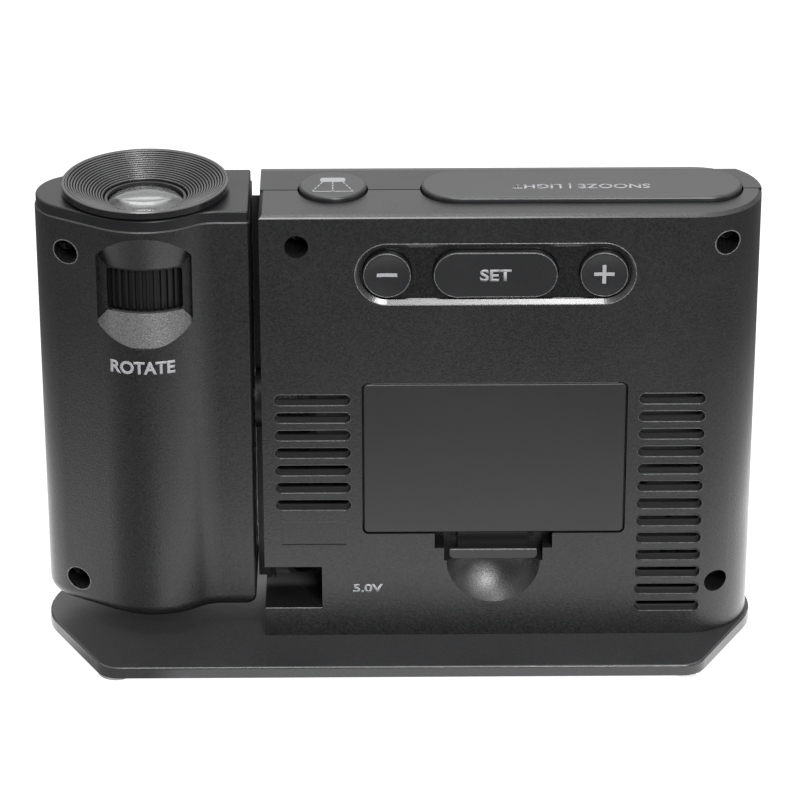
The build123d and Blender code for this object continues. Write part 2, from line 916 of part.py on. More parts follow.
def latch():
    """The cover's spring latch: inwards, down, outwards again, and a lip for a fingertip."""
    half = latch_width / 2
    neck_half = half - latch_neck_inset
    x0 = cover_center_x - neck_half
    x1 = cover_center_x + neck_half
    root_z = cover_bottom_z + gap
    foot_z = latch_lip_bottom + latch_rise
    lip_y = rear_y - latch_lip_set_back
    neck = block(x0, x1, latch_y, cover_y + 0.5, root_z, root_z + latch_thickness)
    neck += block(x0, x1, latch_y, latch_y + latch_thickness, foot_z, root_z + latch_thickness)
    neck += block(x0, x1, latch_y, lip_y, foot_z, foot_z + latch_thickness)
    lip = block(cover_center_x - half, cover_center_x + half, lip_y - latch_lip_depth, lip_y,
                latch_lip_bottom, latch_lip_top)
    corners = [
        e for e in lip.edges().filter_by(Axis.Y) if e.center().Z < latch_lip_bottom + 0.1
    ]
    return neck + fillet(corners, 1.1)


# Supply socket
def power_jack():
    seat_y = socket_y - tub_wall
    jack = block(
        jack_x - jack_half_width, jack_x + jack_half_width, seat_y - jack_length, seat_y,
        jack_z - jack_half_height, jack_z + jack_half_height,
    )
    jack += rod_y_axis(jack_x, seat_y, socket_y, jack_z, jack_radius)
    return jack - rod_y_axis(jack_x, jack_bore_y, socket_y, jack_z, jack_bore)


jack_bore_y = socket_y - tub_wall - jack_length + jack_wall


def jack_center_pin():
    return rod_y_axis(jack_x, jack_bore_y, socket_y - jack_pin_set_back, jack_z, jack_pin)


# Rear buttons, their rubber mat and board
def rear_button(x, length, height):
    face_y = rear_y + button_proud
    cap = pill_y(x, recess_center_z, length, height, flange_y, face_y)
    rim = [e for e in cap.edges() if abs(e.center().Y - face_y) < 0.01]
    cap = fillet(rim, button_edge_round)
    if length == height:
        dish_radius = length / 2 - 1.5 * button_edge_round
        ball = (dish_radius**2 + round_button_dish**2) / (2 * round_button_dish)
        cap -= Pos(x, face_y + ball - round_button_dish, recess_center_z) * Sphere(ball)
    grown = 2 * button_flange
    cap += pill_y(
        x, recess_center_z, length + grown, height + grown,
        flange_y, flange_y + button_flange_thickness,
    )
    return cap


def keypad_mat():
    mat = long_slot_y(
        recess_center_x, recess_center_z, recess_length - 1.0, recess_height - 2.0,
        mat_y, mat_y + mat_thickness,
    )
    for x, _, _ in rear_buttons():
        mat += rod_y_axis(x, mat_y, mat_top_y, recess_center_z, mat_dome_radius)
    return mat


def button_board():
    half = recess_length / 2 + button_board_margin
    return block(
        recess_center_x - half, recess_center_x + half, switch_board_y, mat_y,
        recess_center_z - button_board_drop, recess_center_z + button_board_rise,
    )


def button_board_stand():
    """Two ribs that carry the button board on the main board."""
    ribs = []
    for x in (recess_center_x - board_rib_offset, recess_center_x + board_rib_offset):
        ribs.append(block(
            x - board_rib_half, x + board_rib_half, board_back_y, switch_board_y,
            recess_center_z - board_rib_low, recess_center_z - board_rib_high,
        ))
    return Compound(ribs)


# Top buttons, their switches and board
def top_button(x, length, width):
    top = top_z + top_button_proud
    grown = 2 * top_button_flange
    flange_top = top_flange_z + top_button_flange_thickness
    if length > width:
        cap = long_slot_z(x, 0, length, width, top_flange_z, top)
        flange = long_slot_z(x, 0, length + grown, width + grown, top_flange_z, flange_top)
    else:
        cap = rod_z_axis(x, 0, top_flange_z, top, width / 2)
        flange = rod_z_axis(x, 0, top_flange_z, flange_top, width / 2 + top_button_flange)
    rim = [e for e in cap.edges() if abs(e.center().Z - top) < 0.01]
    button = fillet(rim, top_button_proud * 0.6) + flange
    for boss_x, boss_z in body_screws:
        if boss_z > window_center_z:
            reach = boss_radius + gap
            button -= block(
                boss_x - reach, boss_x + reach, screw_seat_y - boss_seat - gap, rear_y,
                top_flange_z - 1, flange_top,
            )
    return button


def top_board():
    return block(
        board_x0, board_x1, bezel_y + wall, top_board_depth,
        top_board_z, top_board_z + board_thickness,
    )


def top_switches():
    half = switch_size / 2
    base = top_board_z + board_thickness
    switches = []
    can_top = switch_top_z - switch_plunger_height
    places = [snooze_center_x + side * snooze_switch_offset for side in (-1, 1)]
    for x in [projector_button_x] + places:
        can = block(x - half, x + half, -half, half, base, can_top)
        switches.append(can + rod_z_axis(x, 0, can_top, switch_top_z, switch_plunger_radius))
    return Compound(switches)


# Radio antenna and sounder on the main board
saddle_half_height = 3.2
antenna_y = board_back_y + 3.0 + rod_radius


def antenna_rod():
    x0 = rod_center_x - rod_length / 2
    return rod_x_axis(x0, x0 + rod_length, antenna_y, rod_z, rod_radius)


def antenna_coil():
    x0 = rod_center_x - coil_length / 2
    coil = rod_x_axis(x0, x0 + coil_length, antenna_y, rod_z, coil_radius)
    return coil - rod_x_axis(x0, x0 + coil_length, antenna_y, rod_z, rod_radius)


def antenna_saddles():
    saddles = []
    for side in (-1, 1):
        x = rod_center_x + side * (rod_length / 2 - saddle_width)
        saddle = block(
            x - saddle_width / 2, x + saddle_width / 2, board_back_y, antenna_y,
            rod_z - rod_radius - 0.8, rod_z + rod_radius + 0.8,
        )
        saddles.append(saddle - rod_x_axis(x - 5, x + 5, antenna_y, rod_z, rod_radius))
    return Compound(saddles)


def sounder():
    can = rod_y_axis(
        sounder_x, board_back_y, board_back_y + sounder_height, sounder_z, sounder_radius
    )
    hole = rod_y_axis(
        sounder_x, board_back_y + 1.0, board_back_y + sounder_height, sounder_z, sounder_hole_radius
    )
    return can - hole


# Arm outline: a flat side with a rounded bulge about the lens axis and a smaller round end
def outline_arc(center, radius, start, end, side):
    """An arc between two angles, on the rear or the front side of the outline."""
    points = []
    for angle in (start, (start + end) / 2, end):
        x = center[0] + radius * math.cos(angle)
        y = center[1] + radius * math.sin(angle)
        points.append((x, side * y))
    return ThreePointArc(*points)


def arm_outline(inset):
    lean = math.asin((arm_bulge_radius - arm_end_radius) / (arm_end_x - arm_axis_x))
    tangent = math.pi / 2 - lean
    rise = arm_half_flat + arm_blend_radius
    back = math.sqrt((arm_bulge_radius + arm_blend_radius) ** 2 - rise**2)
    blend_x = arm_axis_x - back
    meeting = math.atan2(rise, -back)
    edges = []
    for side in (-1, 1):
        edges.append(Line((arm_side_x, 0), (arm_side_x, side * arm_half_flat)))
        edges.append(Line((arm_side_x, side * arm_half_flat), (blend_x, side * arm_half_flat)))
        edges.append(outline_arc(
            (blend_x, rise), arm_blend_radius, -math.pi / 2, meeting - math.pi, side
        ))
        edges.append(outline_arc((arm_axis_x, 0), arm_bulge_radius, meeting, tangent, side))
        ends = [
            (x + r * math.sin(lean), side * r * math.cos(lean))
            for x, r in ((arm_axis_x, arm_bulge_radius), (arm_end_x, arm_end_radius))
        ]
        edges.append(Line(*ends))
        edges.append(outline_arc((arm_end_x, 0), arm_end_radius, tangent, 0, side))
    outline = make_face(edges)
    corners = [
        v for v in outline.vertices() if abs(v.X - arm_side_x) < 0.01 and abs(v.Y) > 1
    ]
    outline = fillet(corners, arm_corner_radius)
    if inset > 0:
        outline = offset(outline, -inset)
    return outline


def arm_block(inset, z0, z1):
    return extrude(Pos(0, 0, z0) * arm_outline(inset), amount=z1 - z0)


def half(shape, rear):
    """The rear or the front half of an arm piece."""
    y0, y1 = (0, beyond) if rear else (-beyond, 0)
    return shape & block(0, beyond, y0, y1, 0, 2 * beyond)


arm_screws_at = [(arm_screw_x, arm_upper_screw_z), (arm_screw_x, arm_lower_screw_z)]


def arm_skin():
    outer = arm_block(0, arm_bottom_z, cap_z)
    bottom = outer.faces().sort_by(Axis.Z)[0]
    outer = fillet(bottom.edges(), arm_bottom_round)
    top = outer.faces().sort_by(Axis.Z)[-1]
    outer = chamfer(top.edges(), arm_top_chamfer)
    inner = arm_block(wall, arm_bottom_z + wall, cap_z + 1)
    return outer - inner, outer


def sleeve():
    """The round wall inside the arm, with a groove for each of its two flanges."""
    tube = rod_z_axis(arm_axis_x, 0, sleeve_bottom_z, sleeve_top_z, arm_inner_radius + 0.5)
    tube -= rod_z_axis(arm_axis_x, 0, sleeve_bottom_z, sleeve_top_z, sleeve_radius)
    for z in (mount_z, housing_z):
        tube -= rod_z_axis(
            arm_axis_x, 0, z - seam_gap, z + mount_thickness + seam_gap, groove_radius
        )
    return tube


def arm_bosses(outer, rear):
    bosses = []
    seat_end = arm_screw_seat_y - boss_seat
    y0, y1 = (seat_end, beyond) if rear else (-beyond, seat_end)
    radius = boss_radius if rear else post_radius
    clear = rod_z_axis(arm_axis_x, 0, sleeve_bottom_z, cap_z, sleeve_radius)
    for x, z in arm_screws_at:
        bosses.append((rod_y_axis(x, y0, y1, z, radius) & outer) - clear)
    return bosses


def arm_shell(rear):
    skin, outer = arm_skin()
    shell = half(skin, rear) + half(sleeve(), rear)
    for piece in arm_bosses(outer, rear):
        shell += piece
    for z in (mount_z, housing_z):
        shell -= rod_z_axis(
            arm_axis_x, 0, z - seam_gap, z + mount_thickness + seam_gap, groove_radius
        )
    seat = rod_x_axis(arm_side_x + 0.5, flange_x, 0, hinge_z, axle_flange_radius + 1.0)
    shell += half(seat, rear)
    shell -= rod_x_axis(arm_side_x - 1, arm_side_x + 10, 0, hinge_z, axle_radius)
    for x, z in arm_screws_at:
        if rear:
            post_end = arm_screw_seat_y - boss_seat
            shell -= rod_y_axis(x, 0, post_end, z, post_radius + seam_gap)
            shell -= rod_y_axis(x, arm_screw_seat_y, beyond, z, screw_hole_radius)
            shell -= rod_y_axis(x, 0, arm_screw_seat_y, z, screw_radius)
        else:
            shell -= rod_y_axis(x, -arm_screw_bite - 1, arm_screw_seat_y, z, screw_radius)
    if rear:
        shell -= wheel_window()
    return shell


def wheel_window():
    """The sloped recess round the wheel and the opening that shows it."""
    half_x = wheel_window_width / 2
    half_z = wheel_window_height / 2
    tilt = (arm_bulge_radius - recess_floor_radius) / (wheel_recess_radius - half_z)
    reach = wheel_recess_radius + 2.0
    far_radius = recess_floor_radius + tilt * (reach - half_z)
    floor = turned(
        [
            (0, wheel_recess_z - reach), (far_radius, wheel_recess_z - reach),
            (recess_floor_radius, wheel_recess_z - half_z),
            (recess_floor_radius, wheel_recess_z + half_z),
            (far_radius, wheel_recess_z + reach), (0, wheel_recess_z + reach),
        ],
        arm_axis_x, 0,
    )
    side_x = wheel_recess_half_width
    corner_z = math.sqrt(wheel_recess_radius**2 - side_x**2)
    corner_radius = recess_floor_radius + tilt * (corner_z - half_z)
    near_y = math.sqrt(recess_floor_radius**2 - half_x**2)
    side_y = math.sqrt(corner_radius**2 - side_x**2)
    disc = Circle(wheel_recess_radius) & Rectangle(2 * side_x, 4 * wheel_recess_radius)
    place = Plane.XZ.offset(-4.0) * Pos(arm_axis_x, wheel_recess_z)
    cut = extrude(place * disc, amount=-20.0) - floor
    for side in (-1, 1):
        wedge = make_face(Polyline(
            (arm_axis_x + side * half_x, near_y), (arm_axis_x + side * side_x, side_y),
            (arm_axis_x + side * (side_x + 1), side_y), (arm_axis_x + side * (side_x + 1), 0),
            (arm_axis_x + side * half_x, 0), close=True,
        ))
        cut -= extrude(Pos(0, 0, wheel_recess_z - reach) * wedge, amount=2 * reach)
    opening = rounded_plate_y(
        arm_axis_x, wheel_center_z, wheel_window_width, wheel_window_height,
        wheel_window_corner, 8.0, 24.0,
    )
    return cut + opening


def arm_cap():
    cap = arm_block(cap_inset, cap_z, top_z)
    top = cap.faces().sort_by(Axis.Z)[-1]
    cap = fillet(top.edges(), cap_round)
    skirt = arm_block(wall + seam_gap, cap_z - 2.0, cap_z) - arm_block(
        2 * wall, cap_z - 3.0, cap_z
    )
    cap += skirt
    cap -= rod_z_axis(arm_axis_x, 0, cap_z - 3, top_z + 1, cap_hole_radius)
    for x, z in arm_screws_at:
        cap -= rod_y_axis(x, -beyond, beyond, z, boss_radius + gap) & block(
            0, beyond, -beyond, beyond, 0, cap_z
        )
    return cap


def arm_screws():
    parts = []
    for x, z in arm_screws_at:
        part = Pos(x, arm_screw_seat_y, z) * Rot(-90, 0, 0)
        parts.append(part * screw(arm_screw_seat_y + arm_screw_bite))
    return Compound(parts)


# Focus ring: a ribbed funnel with a narrow grooved band and a guide tube
tube_inner = funnel_bottom_radius
tube_outer = funnel_bottom_radius + funnel_wall
tube_bottom_z = funnel_bottom_z - ring_tube_length


def focus_ring():
    rim_radius = ring_radius - ring_rim
    points = [(ring_radius, ring_top_z - 0.2), (ring_radius - 0.2, ring_top_z)]
    points.append((rim_radius, ring_top_z))
    drop = funnel_depth / funnel_ribs
    draw = (rim_radius - funnel_bottom_radius) / funnel_ribs
    for k in range(funnel_ribs):
        r = rim_radius - k * draw
        z = ring_top_z - k * drop
        points.append((r - draw * 0.25 + funnel_rib_depth * 0.5, z - drop * 0.5 - funnel_rib_depth))
        points.append((r - draw, z - drop))
    points.append((tube_inner, tube_bottom_z))
    points.append((tube_outer, tube_bottom_z))
    points.append((tube_outer, funnel_bottom_z - funnel_skin))
    neck_bottom = cap_z + 0.6
    points.append((ring_neck_radius - 1.2, neck_bottom))
    points.append((ring_neck_radius, neck_bottom))
    points.append((ring_neck_radius, ring_bottom_z))
    points.append((ring_radius, ring_bottom_z))
    step = (ring_band - 0.2) / (2 * ring_grooves + 1)
    for k in range(ring_grooves):
        z = ring_bottom_z + step * (2 * k + 1)
        points.append((ring_radius, z))
        points.append((ring_radius - ring_groove_depth, z + step / 2))
        points.append((ring_radius, z + step))
    return turned(points, arm_axis_x, 0)


barrel_radius = tube_inner - gap
barrel_top_z = funnel_bottom_z - 0.3
barrel_bottom_z = barrel_top_z - barrel_height
glass_radius = barrel_radius - barrel_wall
glass_z = barrel_top_z - barrel_rim - lens_thickness


def lens_barrel():
    barrel = rod_z_axis(arm_axis_x, 0, barrel_bottom_z, barrel_top_z, barrel_radius)
    barrel -= rod_z_axis(arm_axis_x, 0, glass_z, barrel_top_z, glass_radius)
    return barrel - rod_z_axis(arm_axis_x, 0, barrel_bottom_z, glass_z, glass_radius - 1.0)


def projection_lens():
    top = glass_z + lens_thickness
    disc = rod_z_axis(arm_axis_x, 0, glass_z, top, glass_radius)
    radius = (glass_radius**2 + lens_bulge**2) / (2 * lens_bulge)
    ball = Pos(arm_axis_x, 0, top + lens_bulge - radius) * Sphere(radius)
    return disc + (ball & rod_z_axis(arm_axis_x, 0, top, top + 2 * lens_bulge, glass_radius))


mount_bore = tube_outer + gap
mount_radius = mount_bore + 1.2
mount_floor_z = wheel_top_z + 0.7


def lens_mount():
    """A cup that guides the ring's tube, with a flange held in the sleeve's groove."""
    light_hole = glass_radius - 1.0
    floor_top = mount_floor_z + 1.2
    flange_radius = groove_radius - seam_gap
    return turned(
        [
            (light_hole, mount_floor_z), (mount_radius, mount_floor_z),
            (mount_radius, mount_z), (flange_radius, mount_z),
            (flange_radius, mount_z + mount_thickness), (mount_radius, mount_z + mount_thickness),
            (mount_radius, funnel_bottom_z - 1.0), (mount_bore, funnel_bottom_z - 1.0),
            (mount_bore, floor_top), (light_hole, floor_top),
        ],
        arm_axis_x, 0,
    )


def rotate_wheel():
    wheel = rod_z_axis(arm_axis_x, 0, wheel_bottom_z, wheel_top_z, wheel_radius)
    wheel = chamfer(wheel.edges().filter_by(GeomType.CIRCLE), 0.5)
    inner = wheel_radius - wheel_wall
    wheel -= rod_z_axis(arm_axis_x, 0, wheel_bottom_z, wheel_top_z - wheel_web, inner)
    half_image = image_size / 2
    wheel -= block(
        arm_axis_x - half_image, arm_axis_x + half_image, -half_image, half_image,
        wheel_top_z - wheel_web, wheel_top_z,
    )
    groove_half = math.pi * wheel_radius / wheel_rib_count * wheel_groove_share
    deep_half = groove_half * wheel_groove_taper
    face = make_face(Polyline(
        (wheel_radius + 0.1, -groove_half), (wheel_radius - wheel_rib_depth, -deep_half),
        (wheel_radius - wheel_rib_depth, deep_half), (wheel_radius + 0.1, groove_half),
        close=True,
    ))
    groove = extrude(Pos(0, 0, wheel_bottom_z - 1) * face, amount=wheel_height + 2)
    cuts = [
        Pos(arm_axis_x, 0, 0) * Rot(0, 0, k * 360 / wheel_rib_count) * groove
        for k in range(wheel_rib_count)
    ]
    return wheel - cuts


def image_panel():
    half_image = image_size / 2
    return block(
        arm_axis_x - half_image, arm_axis_x + half_image, -half_image, half_image,
        wheel_top_z - wheel_web, wheel_top_z - wheel_web + image_thickness,
    )


# Lamp housing that carries the wheel, the condenser and the lamp
spigot_radius = wheel_radius - wheel_wall - gap
tube_radius = lamp_tube_radius + lamp_tube_wall
wheel_seat_z = wheel_bottom_z - gap


def lamp_housing():
    """A tube with a flange in the sleeve's groove and a seat and spigot for the wheel."""
    flange_radius = groove_radius - seam_gap
    spigot_top = wheel_bottom_z + 5.0
    return turned(
        [
            (lamp_tube_radius, lamp_tube_bottom_z), (tube_radius, lamp_tube_bottom_z),
            (tube_radius, housing_z), (flange_radius, housing_z),
            (flange_radius, housing_z + mount_thickness),
            (tube_radius, housing_z + mount_thickness),
            (tube_radius, wheel_seat_z - 1.6), (wheel_radius - 1.2, wheel_seat_z - 1.6),
            (wheel_radius - 1.2, wheel_seat_z), (spigot_radius, wheel_seat_z),
            (spigot_radius, spigot_top), (lamp_tube_radius, spigot_top),
        ],
        arm_axis_x, 0,
    )


def condenser_lens():
    z0 = wheel_bottom_z - 3.0
    disc = rod_z_axis(arm_axis_x, 0, z0, z0 + 1.5, lamp_tube_radius)
    dome_height = condenser_height - 1.5
    radius = (condenser_radius**2 + dome_height**2) / (2 * dome_height)
    ball = Pos(arm_axis_x, 0, z0 + condenser_height - radius) * Sphere(radius)
    zone = rod_z_axis(arm_axis_x, 0, z0 + 1.5, z0 + 2 * condenser_height, condenser_radius)
    return disc + (ball & zone)


def lamp_board():
    z1 = lamp_tube_bottom_z
    return rod_z_axis(arm_axis_x, 0, z1 - board_thickness, z1, lamp_board_radius)


def lamp():
    z0 = lamp_tube_bottom_z
    body = rod_z_axis(arm_axis_x, 0, z0, z0 + lamp_height - lamp_radius, lamp_radius)
    dome = Pos(arm_axis_x, 0, z0 + lamp_height - lamp_radius) * Sphere(lamp_radius)
    base = rod_z_axis(arm_axis_x, 0, z0, z0 + 1.0, lamp_radius + 0.5)
    return body + dome + base


# Hinge: a hollow axle fixed in the arm turns in the body's bearing
axle_end_x = clip_x - gap - 1.0
flange_x = arm_side_x + wall + 1.2


def hinge_axle():
    shaft = rod_x_axis(axle_end_x, flange_x + axle_flange_thickness, 0, hinge_z, axle_radius)
    flange = rod_x_axis(
        flange_x, flange_x + axle_flange_thickness, 0, hinge_z, axle_flange_radius
    )
    groove_x = clip_x + clip_thickness
    groove = rod_x_axis(clip_x, groove_x, 0, hinge_z, axle_radius + 1)
    groove -= rod_x_axis(clip_x, groove_x, 0, hinge_z, axle_radius - clip_bite)
    axle = shaft + flange - groove
    return axle - rod_x_axis(
        axle_end_x, flange_x + axle_flange_thickness, 0, hinge_z, axle_bore
    )


def hinge_clip():
    groove_x = clip_x + clip_thickness
    clip = rod_x_axis(clip_x, groove_x, 0, hinge_z, clip_radius)
    clip -= rod_x_axis(clip_x, groove_x, 0, hinge_z, axle_radius - clip_bite)
    mouth = block(
        clip_x, groove_x, -clip_mouth_half, clip_mouth_half, hinge_z, hinge_z + clip_radius + 1
    )
    return clip - mouth


def hinge_washer():
    x1 = arm_side_x - slide_gap
    washer = rod_x_axis(body_side_x, x1, 0, hinge_z, washer_radius)
    return washer - rod_x_axis(body_side_x, x1, 0, hinge_z, axle_radius + hinge_gap)


write("base_plate", base_plate())
write("base_feet", base_feet())
write("base_screws", base_screws())
write("rear_shell", rear_shell())
write("front_shell", front_shell())
write("front_bezel", front_bezel())
write("display_window", display_window())
write("display_panel", display_panel())
write("display_backlight", display_backlight())
write("main_board", main_board())
write("board_screws", board_screws())
write("controller_chip", controller_chip())
write("rear_screws", rear_screws())
write("battery_cells", battery_cells())
write("battery_contacts", battery_contacts())
write("battery_springs", battery_springs())
write("battery_cover", battery_cover())
write("power_jack", power_jack())
write("jack_pin", jack_center_pin())
for name, place in zip(("minus_button", "set_button", "plus_button"), rear_buttons()):
    write(name, rear_button(*place))
write("keypad_mat", keypad_mat())
write("button_board", button_board())
write("button_board_stand", button_board_stand())
for name, place in zip(("projector_button", "snooze_bar"), top_openings):
    write(name, top_button(*place))
write("top_board", top_board())
write("top_switches", top_switches())
write("antenna_rod", antenna_rod())
write("antenna_coil", antenna_coil())
write("antenna_saddles", antenna_saddles())
write("sounder", sounder())
write("arm_rear_shell", arm_shell(True))
write("arm_front_shell", arm_shell(False))
write("arm_cap", arm_cap())
write("arm_screws", arm_screws())
write("focus_ring", focus_ring())
write("lens_barrel", lens_barrel())
write("projection_lens", projection_lens())
write("lens_mount", lens_mount())
write("rotate_wheel", rotate_wheel())
write("image_panel", image_panel())
write("lamp_housing", lamp_housing())
write("condenser_lens", condenser_lens())
write("lamp_board", lamp_board())
write("lamp", lamp())
write("hinge_axle", hinge_axle())
write("hinge_clip", hinge_clip())
write("hinge_washer", hinge_washer())
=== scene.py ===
# %% [markdown]
# A projection alarm clock, seen from its rear.
# The CAD model already gives every shell, button and screw its place and size.
# This lesson loads it, lights it, gives each solid its finish and adds the prints and digits.

# %% Load the clock
import math
import bpy
from mathutils import Matrix, Vector


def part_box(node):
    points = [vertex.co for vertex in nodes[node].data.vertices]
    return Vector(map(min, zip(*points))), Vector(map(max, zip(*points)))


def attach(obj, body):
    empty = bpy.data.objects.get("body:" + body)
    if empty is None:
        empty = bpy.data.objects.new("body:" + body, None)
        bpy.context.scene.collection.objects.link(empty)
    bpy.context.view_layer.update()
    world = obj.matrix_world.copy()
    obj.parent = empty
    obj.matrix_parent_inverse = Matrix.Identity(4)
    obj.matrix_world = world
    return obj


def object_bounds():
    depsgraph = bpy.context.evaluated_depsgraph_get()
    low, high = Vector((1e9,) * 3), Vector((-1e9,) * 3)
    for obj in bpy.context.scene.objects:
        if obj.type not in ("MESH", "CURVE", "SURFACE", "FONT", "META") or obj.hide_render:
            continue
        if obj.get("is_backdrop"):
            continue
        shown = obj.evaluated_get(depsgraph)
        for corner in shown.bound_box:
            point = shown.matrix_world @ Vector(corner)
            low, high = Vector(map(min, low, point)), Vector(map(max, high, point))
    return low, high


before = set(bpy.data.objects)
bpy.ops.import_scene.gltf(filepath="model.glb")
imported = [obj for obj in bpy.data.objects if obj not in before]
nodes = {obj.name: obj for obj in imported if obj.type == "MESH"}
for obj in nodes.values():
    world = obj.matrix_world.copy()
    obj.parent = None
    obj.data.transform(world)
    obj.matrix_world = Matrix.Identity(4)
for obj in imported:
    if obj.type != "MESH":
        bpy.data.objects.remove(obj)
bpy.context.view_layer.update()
MM = 0.001

# %% [markdown]
# The clock is seen from behind and above, through a long lens about a metre away.
# The camera could be aimed by eye, but then buttons and seams would land a little off.
# Its place was worked out from the clock's straight edges, so it is set in numbers.

# %% Camera
CAMERA_PLACE = Vector((0.00659, 0.82515, 0.45816))
CAMERA_LOOK = Vector((-0.0073, -0.8998, -0.4363)).normalized()
CAMERA_ROLL = math.radians(-0.087)
CAMERA_LENS = 176.97
SENSOR_WIDTH = 36.0

bpy.ops.object.camera_add(location=CAMERA_PLACE)
camera = bpy.context.object
camera.data.sensor_width = SENSOR_WIDTH
camera.data.lens = CAMERA_LENS
right = CAMERA_LOOK.cross(Vector((0, 0, 1))).normalized()
up = right.cross(CAMERA_LOOK)
rolled_right = right * math.cos(CAMERA_ROLL) + up * math.sin(CAMERA_ROLL)
rolled_up = up * math.cos(CAMERA_ROLL) - right * math.sin(CAMERA_ROLL)
turn = Matrix((rolled_right, rolled_up, -CAMERA_LOOK)).transposed().to_4x4()
camera.matrix_world = Matrix.Translation(CAMERA_PLACE) @ turn
bpy.context.scene.camera = camera
bpy.context.scene.view_settings.view_transform = "Standard"
print("camera lens:", camera.data.lens)

# %% [markdown]
# The paper under and around the clock has to look white without lighting the clock much.
# Stronger lamps would also turn it white, but they would wash out the black plastic.
# So Light Path tells the shaders which kind of ray is looking, and each kind gets its answer.
# Such node trees repeat a few steps, so small helpers build them.

# %% Node tools
def feed(tree, value, socket):
    """Set a socket to a plain number, or link another socket to it."""
    if isinstance(value, float):
        socket.default_value = value
    else:
        tree.links.new(value, socket)


def blend(tree, kind, first, second):
    """Two values, sockets or plain numbers, put together by a Math node."""
    step = tree.nodes.new("ShaderNodeMath")
    step.operation = kind
    feed(tree, first, step.inputs[0])
    feed(tree, second, step.inputs[1])
    return step.outputs[0]


def ramped(tree, value, ends, levels, kind="SMOOTHSTEP"):
    """A value that goes from one level to another between two ends."""
    ramp = tree.nodes.new("ShaderNodeMapRange")
    ramp.interpolation_type = kind
    ramp.inputs["From Min"].default_value = ends[0]
    ramp.inputs["From Max"].default_value = ends[1]
    ramp.inputs["To Min"].default_value = levels[0]
    ramp.inputs["To Max"].default_value = levels[1]
    tree.links.new(value, ramp.inputs["Value"])
    return ramp.outputs["Result"]


def axes(tree):
    """The X, Y and Z of a point in its object's own coordinates."""
    place = tree.nodes.new("ShaderNodeTexCoord")
    split = tree.nodes.new("ShaderNodeSeparateXYZ")
    tree.links.new(place.outputs["Object"], split.inputs["Vector"])
    return [split.outputs[axis] for axis in "XYZ"]


def distance(tree, across, along):
    """How far a point lies from a centre, given its two offsets."""
    squares = blend(tree, "ADD", blend(tree, "MULTIPLY", across, across),
                    blend(tree, "MULTIPLY", along, along))
    return blend(tree, "SQRT", squares, 0.0)


print("node tools ready")

# %% [markdown]
# The sky is white to the camera and through glass, but sheds only a little light.
# In reflections it is brighter overhead and dimmer behind the camera.
# A picture of a studio could be wrapped around instead, but it could not be tuned part by part.

# %% Sky
SKY_LIGHT = 0.10
SKY_BEHIND = 0.5
SKY_BEHIND_ENDS = (0.2, 0.7)
SKY_EXTRA = 2.6
SKY_EXTRA_ENDS = (0.45, 0.85)


def white_sky(tree, strength):
    """A white background shader."""
    white = tree.nodes.new("ShaderNodeBackground")
    white.inputs["Color"].default_value = (1, 1, 1, 1)
    feed(tree, strength, white.inputs["Strength"])
    return white.outputs[0]


world = bpy.data.worlds.new("studio")
bpy.context.scene.world = world
world.use_nodes = True
tree = world.node_tree
tree.nodes.clear()
path = tree.nodes.new("ShaderNodeLightPath")
straight = blend(tree, "MAXIMUM", path.outputs["Is Camera Ray"], path.outputs["Is Glossy Ray"])
seen = blend(tree, "MAXIMUM", straight, path.outputs["Is Transmission Ray"])
way = tree.nodes.new("ShaderNodeTexCoord")
split = tree.nodes.new("ShaderNodeSeparateXYZ")
tree.links.new(way.outputs["Generated"], split.inputs["Vector"])
overhead = ramped(tree, split.outputs["Z"], SKY_EXTRA_ENDS, (0.0, SKY_EXTRA))
behind = ramped(tree, split.outputs["Y"], SKY_BEHIND_ENDS, (1.0, SKY_BEHIND), "LINEAR")
mirrored = blend(tree, "ADD", behind, overhead)
change = blend(tree, "SUBTRACT", mirrored, 1.0)
extra = blend(tree, "MULTIPLY", change, path.outputs["Is Glossy Ray"])
mix = tree.nodes.new("ShaderNodeMixShader")
tree.links.new(seen, mix.inputs["Fac"])
tree.links.new(white_sky(tree, SKY_LIGHT), mix.inputs[1])
tree.links.new(white_sky(tree, blend(tree, "ADD", extra, 1.0)), mix.inputs[2])
sky_out = tree.nodes.new("ShaderNodeOutputWorld")
tree.links.new(mix.outputs[0], sky_out.inputs["Surface"])
print("sky nodes:", len(tree.nodes))

# %% [markdown]
# The floor is one large sheet of matt paper that also glows white to the camera.
# In reflections it grows darker away from the clock, which shades the upright walls.
# It is darker still in one sector, which draws the soft dark band down the round arm.
# These reflections stand for a studio that the photograph does not show.

# %% Floor
FLOOR_SIZE = 8
FLOOR_MATT = 0.25
FLOOR_GLOW = 0.98
MIRROR_NEAR = 0.03
MIRROR_FAR = 0.18
MIRROR_BRIGHT = 3.3
MIRROR_DARK = 0.0
ARM_X = 0.058
CLOCK_HALF = 0.075
SECTOR = ((0.47, 1.0), (0.50, 0.2), (0.62, 0.2), (0.70, 0.9), (0.80, 0.8))

